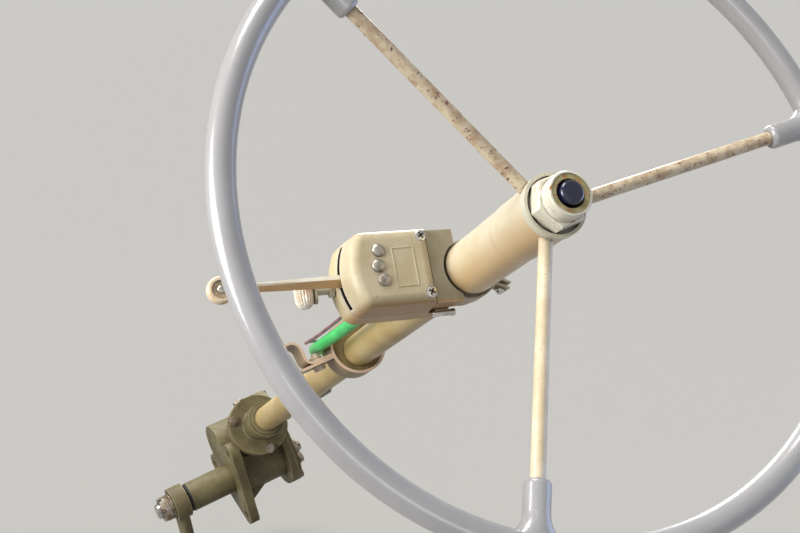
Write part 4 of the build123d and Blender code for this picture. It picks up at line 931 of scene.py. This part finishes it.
# Upper cover's three bolts
NECK_FLOOR = 70 * MM
NECK_BOLT_R = 33.5 * MM
NECK_TURNS = (30, 150, 270)
NECK_HEX = (5.8 * MM, 6 * MM, 1.2 * MM)
neck_spots = []
for turn in NECK_TURNS:
    place = FOOT + UP_COLUMN * NECK_FLOOR + around(radians(turn)) * NECK_BOLT_R
    neck_spots.append(spot(place, RIGHT, UP_COLUMN))
neck = set_out(bolt_head(*NECK_HEX), neck_spots, "upper_cover_bolts")
hand_over(neck, "column", "bolt_steel", BOLT_STEEL, "neck_bolts")

# Jacket clamp's bolt and nut
CLAMP_HEX = (6 * MM, 4.5 * MM, 1 * MM)
CLAMP_THREAD = (3 * MM, 2.5 * MM)
CLAMP_UP = 105 * MM
CLAMP_BOLT_OUT = 29.5 * MM
LUG_FACE = OFF_COLUMN * 4.5 * MM
clamp_middle = FOOT + UP_COLUMN * CLAMP_UP + RIGHT * CLAMP_BOLT_OUT
head_spot = spot(clamp_middle + LUG_FACE, RIGHT, OFF_COLUMN)
nut_spot = spot(clamp_middle - LUG_FACE, RIGHT, -OFF_COLUMN)
clamp_head = set_out(bolt_head(*CLAMP_HEX), [head_spot], "clamp head")
clamp_nut = set_out(bolt_head(*CLAMP_HEX, *CLAMP_THREAD), [nut_spot], "clamp nut")
shank = disc(3 * MM, 10 * MM, -5 * MM, sides=32)
shank = set_out(shank, [spot(clamp_middle, RIGHT, OFF_COLUMN)], "clamp shank")
clamp_set = join([clamp_head, clamp_nut, shank], "jacket_clamp_bolt")
hand_over(clamp_set, "column", "bolt_steel", BOLT_STEEL, "clamp_bolt")

# Adjuster's lock nut, and the filler plug on its sealing washer
ADJUSTER_SEAT = 93
ADJUSTER_BORE_R = 6.05 * MM
lock_nut = hexagon(12 * MM, 6 * MM)
cut(lock_nut, disc(ADJUSTER_BORE_R, 8 * MM, -1 * MM))
soften(lock_nut, NUT_ROUND)
lock_nut = set_out(lock_nut, [on_rail(ADJUSTER_SEAT, 0, 0)], "adjuster_lock_nut")
hand_over(lock_nut, "column", "bolt_steel", BOLT_STEEL, "adjuster_nut")

PLUG_WASHER = 3 * MM
PLUG_UP = 26 * MM
PLUG_SEAT = 33.2 * MM
plug = hexagon(8.1 * MM, 6 * MM, PLUG_WASHER)
soften(plug, NUT_ROUND)
plug_seat = disc(9 * MM, PLUG_WASHER)
soften(plug_seat, 0.5 * MM)
plug_spot = spot(FOOT + UP_COLUMN * PLUG_UP + OFF_COLUMN * PLUG_SEAT, RIGHT, OFF_COLUMN)
plug = set_out(join([plug, plug_seat], "plug"), [plug_spot], "filler_plug_head")
hand_over(plug, "column", "bolt_steel", BOLT_STEEL, "filler_plug")


# Slotted nuts with split pins on the drop arm and its ball stud
def slotted_nut(corner_r, bore_r, height, slot, washer=0.0):
    """A nut with six slots across its top and a split pin through two of them."""
    nut = hexagon(corner_r, height - washer, washer)
    cut(nut, disc(bore_r, height + 2 * MM, -1 * MM))
    for step in range(3):
        groove = block((corner_r * 2.4, slot, height * 0.32), (0, 0, height * 0.9))
        groove.rotation_euler = (0, 0, radians(60 * step + 30))
        settle(groove)
        cut(nut, groove)
    soften(nut, NUT_ROUND)
    pin_r = slot * 0.32
    pin = disc(pin_r, corner_r * 1.9, -corner_r * 0.95, sides=16)
    pin.rotation_euler = (0, pi / 2, radians(30))
    pin.location = (0, 0, height * 0.86)
    soften(pin, pin_r * 0.5)
    settle(pin)
    pieces = [nut, pin]
    if washer:
        ring = disc(corner_r, washer)
        cut(ring, disc(bore_r, washer * 3, -washer))
        soften(ring, 0.4 * MM)
        pieces.append(ring)
    return join(pieces, "slotted nut")


# Where each seats: out from the frame rail, forwards and up from the sector shaft
ARM_NUT_SEAT = (-82.5, 0, 0)
BALL_NUT_SEAT = (-66, 0, -150)
# Their corners' radius, bore, height, slots and washer
ARM_NUT = (17 * MM, 9.55 * MM, 15.5 * MM, 4 * MM, 2.5 * MM)
BALL_NUT = (14 * MM, 8.05 * MM, 7 * MM, 3 * MM)
arm_nut = slotted_nut(*ARM_NUT)
arm_nut = set_out(arm_nut, [on_rail(*ARM_NUT_SEAT, facing=-1)], "drop_arm_nut")
hand_over(arm_nut, "drop_arm", "bolt_steel", BOLT_STEEL, "arm_nut")
ball_nut = slotted_nut(*BALL_NUT)
ball_nut = set_out(ball_nut, [on_rail(*BALL_NUT_SEAT)], "ball_stud_nut")
hand_over(ball_nut, "drop_arm", "bolt_steel", BOLT_STEEL, "stud_nut")

# Clamp band's screw: a slotted round head on one side and a nut on the other
LUG_TURN = SWITCH_TURN + radians(155)
BAND_SCREW_DEPTH = 157.5 * MM
BAND_SCREW_OUT = 29.4 * MM
BAND_HEX = (4 * MM, 2.5 * MM)
BAND_THREAD = (2 * MM, 1.6 * MM)
band_middle = down_column(BAND_SCREW_DEPTH) + around(LUG_TURN) * BAND_SCREW_OUT
band_axis = around(LUG_TURN + pi / 2)
band_face = band_axis * 2.9 * MM
round_head = disc(4 * MM, 1.3 * MM, sides=40)
dome(round_head, ((0.3 * MM, 0.5 * MM), (0.9 * MM, 0.4 * MM), (1 * MM, 0.2 * MM)))
cut(round_head, block((9 * MM, 0.9 * MM, 1.6 * MM), (0, 0, 2.6 * MM)))
soften(round_head, 0.12 * MM)
round_head = set_out(round_head, [spot(band_middle + band_face, UP_COLUMN, band_axis)], "round head")
band_nut = bolt_head(*BAND_HEX, 0, *BAND_THREAD)
band_nut = set_out(band_nut, [spot(band_middle - band_face, UP_COLUMN, -band_axis)], "band nut")
band_shank = disc(2 * MM, 6.4 * MM, -3.2 * MM, sides=24)
band_shank = set_out(band_shank, [spot(band_middle, UP_COLUMN, band_axis)], "shank")
band_set = join([round_head, band_nut, band_shank], "clamp_band_screw")
hand_over(band_set, "column", "bolt_steel", SCREW_STEEL, "band_screw")

# Small screw barrel on the base's lower wall
BARREL_PLACE = (22, 27.9, 163)
barrel = disc(2.3 * MM, 15 * MM, -7.5 * MM, sides=32)
soften(barrel, 0.5 * MM, 3)
barrel_end = disc(2.9 * MM, 3.2 * MM, 7 * MM, sides=6)
soften(barrel_end, 0.3 * MM)
saddle = block((4 * MM, 3.4 * MM, 11 * MM), (-1.4 * MM, 0, 0))
settle(saddle)
soften(saddle, 0.5 * MM)
barrel_spot = spot(on_switch(*BARREL_PLACE).translation, SWITCH_ACROSS, -SWITCH_OUT)
barrel = set_out(join([barrel, barrel_end, saddle], "barrel"), [barrel_spot], "base_wall_screw")
hand_over(barrel, "column", "bolt_steel", SCREW_STEEL)

# Slotted screw in the knob's dish
KNOB_SCREW_PLACE = (181.4, -1.4, 155.52)
KNOB_SCREW_TURN = 0.7
knob_screw = disc(2.5 * MM, 0.4 * MM, sides=32)
dome(knob_screw, ((0.3 * MM, 0.35 * MM), (0.7 * MM, 0.25 * MM), (0.7 * MM, 0.1 * MM)))
cut(knob_screw, block((6 * MM, 0.6 * MM, 1 * MM), (0, 0, 1.25 * MM)))
soften(knob_screw, 0.08 * MM)
knob_spot = on_switch(*KNOB_SCREW_PLACE) @ Matrix.Rotation(KNOB_SCREW_TURN, 4, "Z")
knob_screw = set_out(knob_screw, [knob_spot], "knob_screw_head")
hand_over(knob_screw, "column", "bolt_steel", SCREW_STEEL)


# Painted shadow: dark sheets that line the slot the lever comes out of
def arc_bar(inner, outer, foot, top, half_turn):
    """A bar that follows an arc round the z axis, between two radii and two levels.

    The spin turns the other way in a script, so its angle is negative.
    """
    bar = primitive(bpy.ops.mesh.primitive_plane_add, size=1, rotation=(pi / 2, 0, -half_turn))
    bar.scale = (outer - inner, top - foot, 1)
    bar.location = Vector((cos(half_turn), -sin(half_turn), 0)) * (inner + outer) / 2
    bar.location.z = (foot + top) / 2
    settle(bar)
    bpy.ops.object.mode_set(mode="EDIT")
    bpy.ops.mesh.select_all(action="SELECT")
    bpy.ops.mesh.spin(steps=32, angle=-2 * half_turn, center=(0, 0, 0), axis=(0, 0, 1))
    bpy.ops.mesh.select_all(action="SELECT")
    bpy.ops.mesh.normals_make_consistent(inside=False)
    bpy.ops.object.mode_set(mode="OBJECT")
    take(bar)
    bpy.ops.object.shade_smooth_by_angle(angle=SHARP)
    return bar


# Centre of the slot's arc on the switch; the back of the slot, the well under it and its lip, all dark sheets
# of painted shadow
SLOT_CENTRE = (45, -2.5, 156.5)
SLOT_HALF_TURN = radians(31)
LIP_HALF_TURN = radians(26.2)
back = arc_bar(43.02 * MM, 43.14 * MM, -5.2 * MM, -0.1 * MM, SLOT_HALF_TURN)
well = arc_bar(43.15 * MM, 49.8 * MM, -9.2 * MM, -5.4 * MM, SLOT_HALF_TURN)
lip = arc_bar(49.85 * MM, 51.4 * MM, -5.02 * MM, -4.86 * MM, LIP_HALF_TURN)
shadow_sheets = set_out(join([back, well, lip], "shadow_sheets"), [on_switch(*SLOT_CENTRE)], "slot_shadow_sheets")
hand_over(shadow_sheets, "column", "switch_paint", SLOT_SHADOW)

# Camera, at the photograph's viewing angle
CAMERA_PLACE = (-0.34231, -1.12774, 0.96835)
CAMERA_TURNS = (radians(59.2685), radians(5.8567), radians(-32.8220))
CAMERA_LENS = 50.88

bpy.ops.object.select_all(action="DESELECT")
bpy.ops.object.camera_add(location=CAMERA_PLACE, rotation=CAMERA_TURNS)
camera = bpy.context.object
camera.name = "camera"
camera.data.lens = CAMERA_LENS
camera.data.sensor_width = 36
camera.data.clip_start = 0.02
bpy.context.scene.camera = camera

# Lamps: name, place, size, watts, colour; each one aims at the middle of the column
LAMPS = (
    ("left side", (-1.45, -0.25, 1.45), 1.1, 45, (1, 0.99, 0.97)),
    ("front right", (1.15, 1.25, 0.85), 0.9, 34, (1, 1, 1)),
    ("fill by the camera", (-0.7, -2.0, 1.5), 1.8, 4, (1, 0.98, 0.95)),
    ("cool right side", (1.6, -1.2, 0.3), 1.3, 15, (0.42, 0.58, 1)),
)
AIM = Vector((0.04, -0.5, 0.5))
for name, place, size, power, color in LAMPS:
    bpy.ops.object.light_add(type="AREA", location=place)
    lamp = bpy.context.object
    lamp.name = name
    lamp.data.size = size
    lamp.data.energy = power
    lamp.data.color = color
    lamp.visible_camera = False
    lamp.rotation_euler = (AIM - Vector(place)).to_track_quat("-Z", "Y").to_euler()

# A long lamp behind the camera runs a bright line down the rim's left side
LINE_PLACE = Vector((-0.35, -2.1, 1.1))
LINE_ALONG = Vector((1.2, -0.7, -0.9))
LINE_LONG = 1.7
LINE_WIDE = 0.4
line_back = (LINE_PLACE - AIM).normalized()
line_side = (LINE_ALONG - line_back * LINE_ALONG.dot(line_back)).normalized()
bpy.ops.object.light_add(type="AREA", location=LINE_PLACE)
rim_line = bpy.context.object
rim_line.name = "line on the rim"
rim_line.data.shape = "RECTANGLE"
rim_line.data.size = LINE_LONG
rim_line.data.size_y = LINE_WIDE
rim_line.data.energy = 6
rim_line.visible_camera = False
rim_line.rotation_euler = spot(LINE_PLACE, line_side, line_back).to_euler()

SUN_PLACE = (0.1, 0.2, 2.1)
bpy.ops.object.light_add(type="SUN", location=SUN_PLACE)
sun = bpy.context.object
sun.name = "soft sky"
sun.data.energy = 2.3
sun.data.color = (1, 0.985, 0.95)
sun.data.angle = radians(30)
sun.rotation_euler = (AIM - Vector(SUN_PLACE)).to_track_quat("-Z", "Y").to_euler()

world = bpy.data.worlds.new("studio")
bpy.context.scene.world = world
world.use_nodes = True


def seen_or_lighting(tree, lighting, seen):
    """The colour that lights the rest, and a paler one where the thing itself is seen or mirrored."""
    rays = node(tree, "ShaderNodeLightPath").outputs
    straight = math_node(tree, "MAXIMUM", rays["Is Camera Ray"], rays["Is Transmission Ray"])
    return mix_colors(tree, math_node(tree, "MAXIMUM", straight, rays["Is Glossy Ray"]), lighting, seen)


SKY_LIGHT = (0.207, 0.211, 0.22, 1)
SKY_SEEN = (0.56, 0.55, 0.53, 1)
sky_color = seen_or_lighting(world.node_tree, SKY_LIGHT, SKY_SEEN)
world.node_tree.links.new(sky_color, world.node_tree.nodes["Background"].inputs["Color"])

FLOOR_LEVEL = cad_box[0][2] - 0.5 * MM
FLOOR_SIZE = 14
FLOOR_LIGHT = (0.28, 0.27, 0.255, 1)
FLOOR_SEEN = (0.64, 0.63, 0.61, 1)
bpy.ops.mesh.primitive_plane_add(size=FLOOR_SIZE, location=(0, 0, FLOOR_LEVEL))
floor = bpy.context.object
floor.name = "floor"
floor_material, floor_tree, floor_shader, _ = start_material("pale floor")
floor_color = seen_or_lighting(floor_tree, FLOOR_LIGHT, FLOOR_SEEN)
floor_tree.links.new(floor_color, floor_shader.inputs["Base Color"])
floor_shader.inputs["Roughness"].default_value = 0.8
floor.data.materials.append(floor_material)


def light_link(lamp_name, pieces, state):
    """Makes a lamp light only these pieces, or all but these."""
    linked = bpy.data.collections.new(lamp_name)
    for piece in pieces:
        linked.objects.link(piece)
    for entry in linked.collection_objects:
        entry.light_linking.link_state = state
    bpy.data.objects[lamp_name].light_linking.receiver_collection = linked


# The side lamps leave the floor out, so that it stays even, the cool one lights the wheel alone, and
# the long one the rim alone
WHEEL = ("wheel_rim", "spoke_1", "spoke_2", "spoke_3", "hub_nut", "horn_button")
light_link("left side", [floor], "EXCLUDE")
light_link("front right", [floor], "EXCLUDE")
light_link("cool right side", [frame["nodes"][name] for name in WHEEL], "INCLUDE")
light_link("line on the rim", [frame["nodes"]["wheel_rim"]], "INCLUDE")

bpy.context.scene.view_settings.view_transform = "Standard"
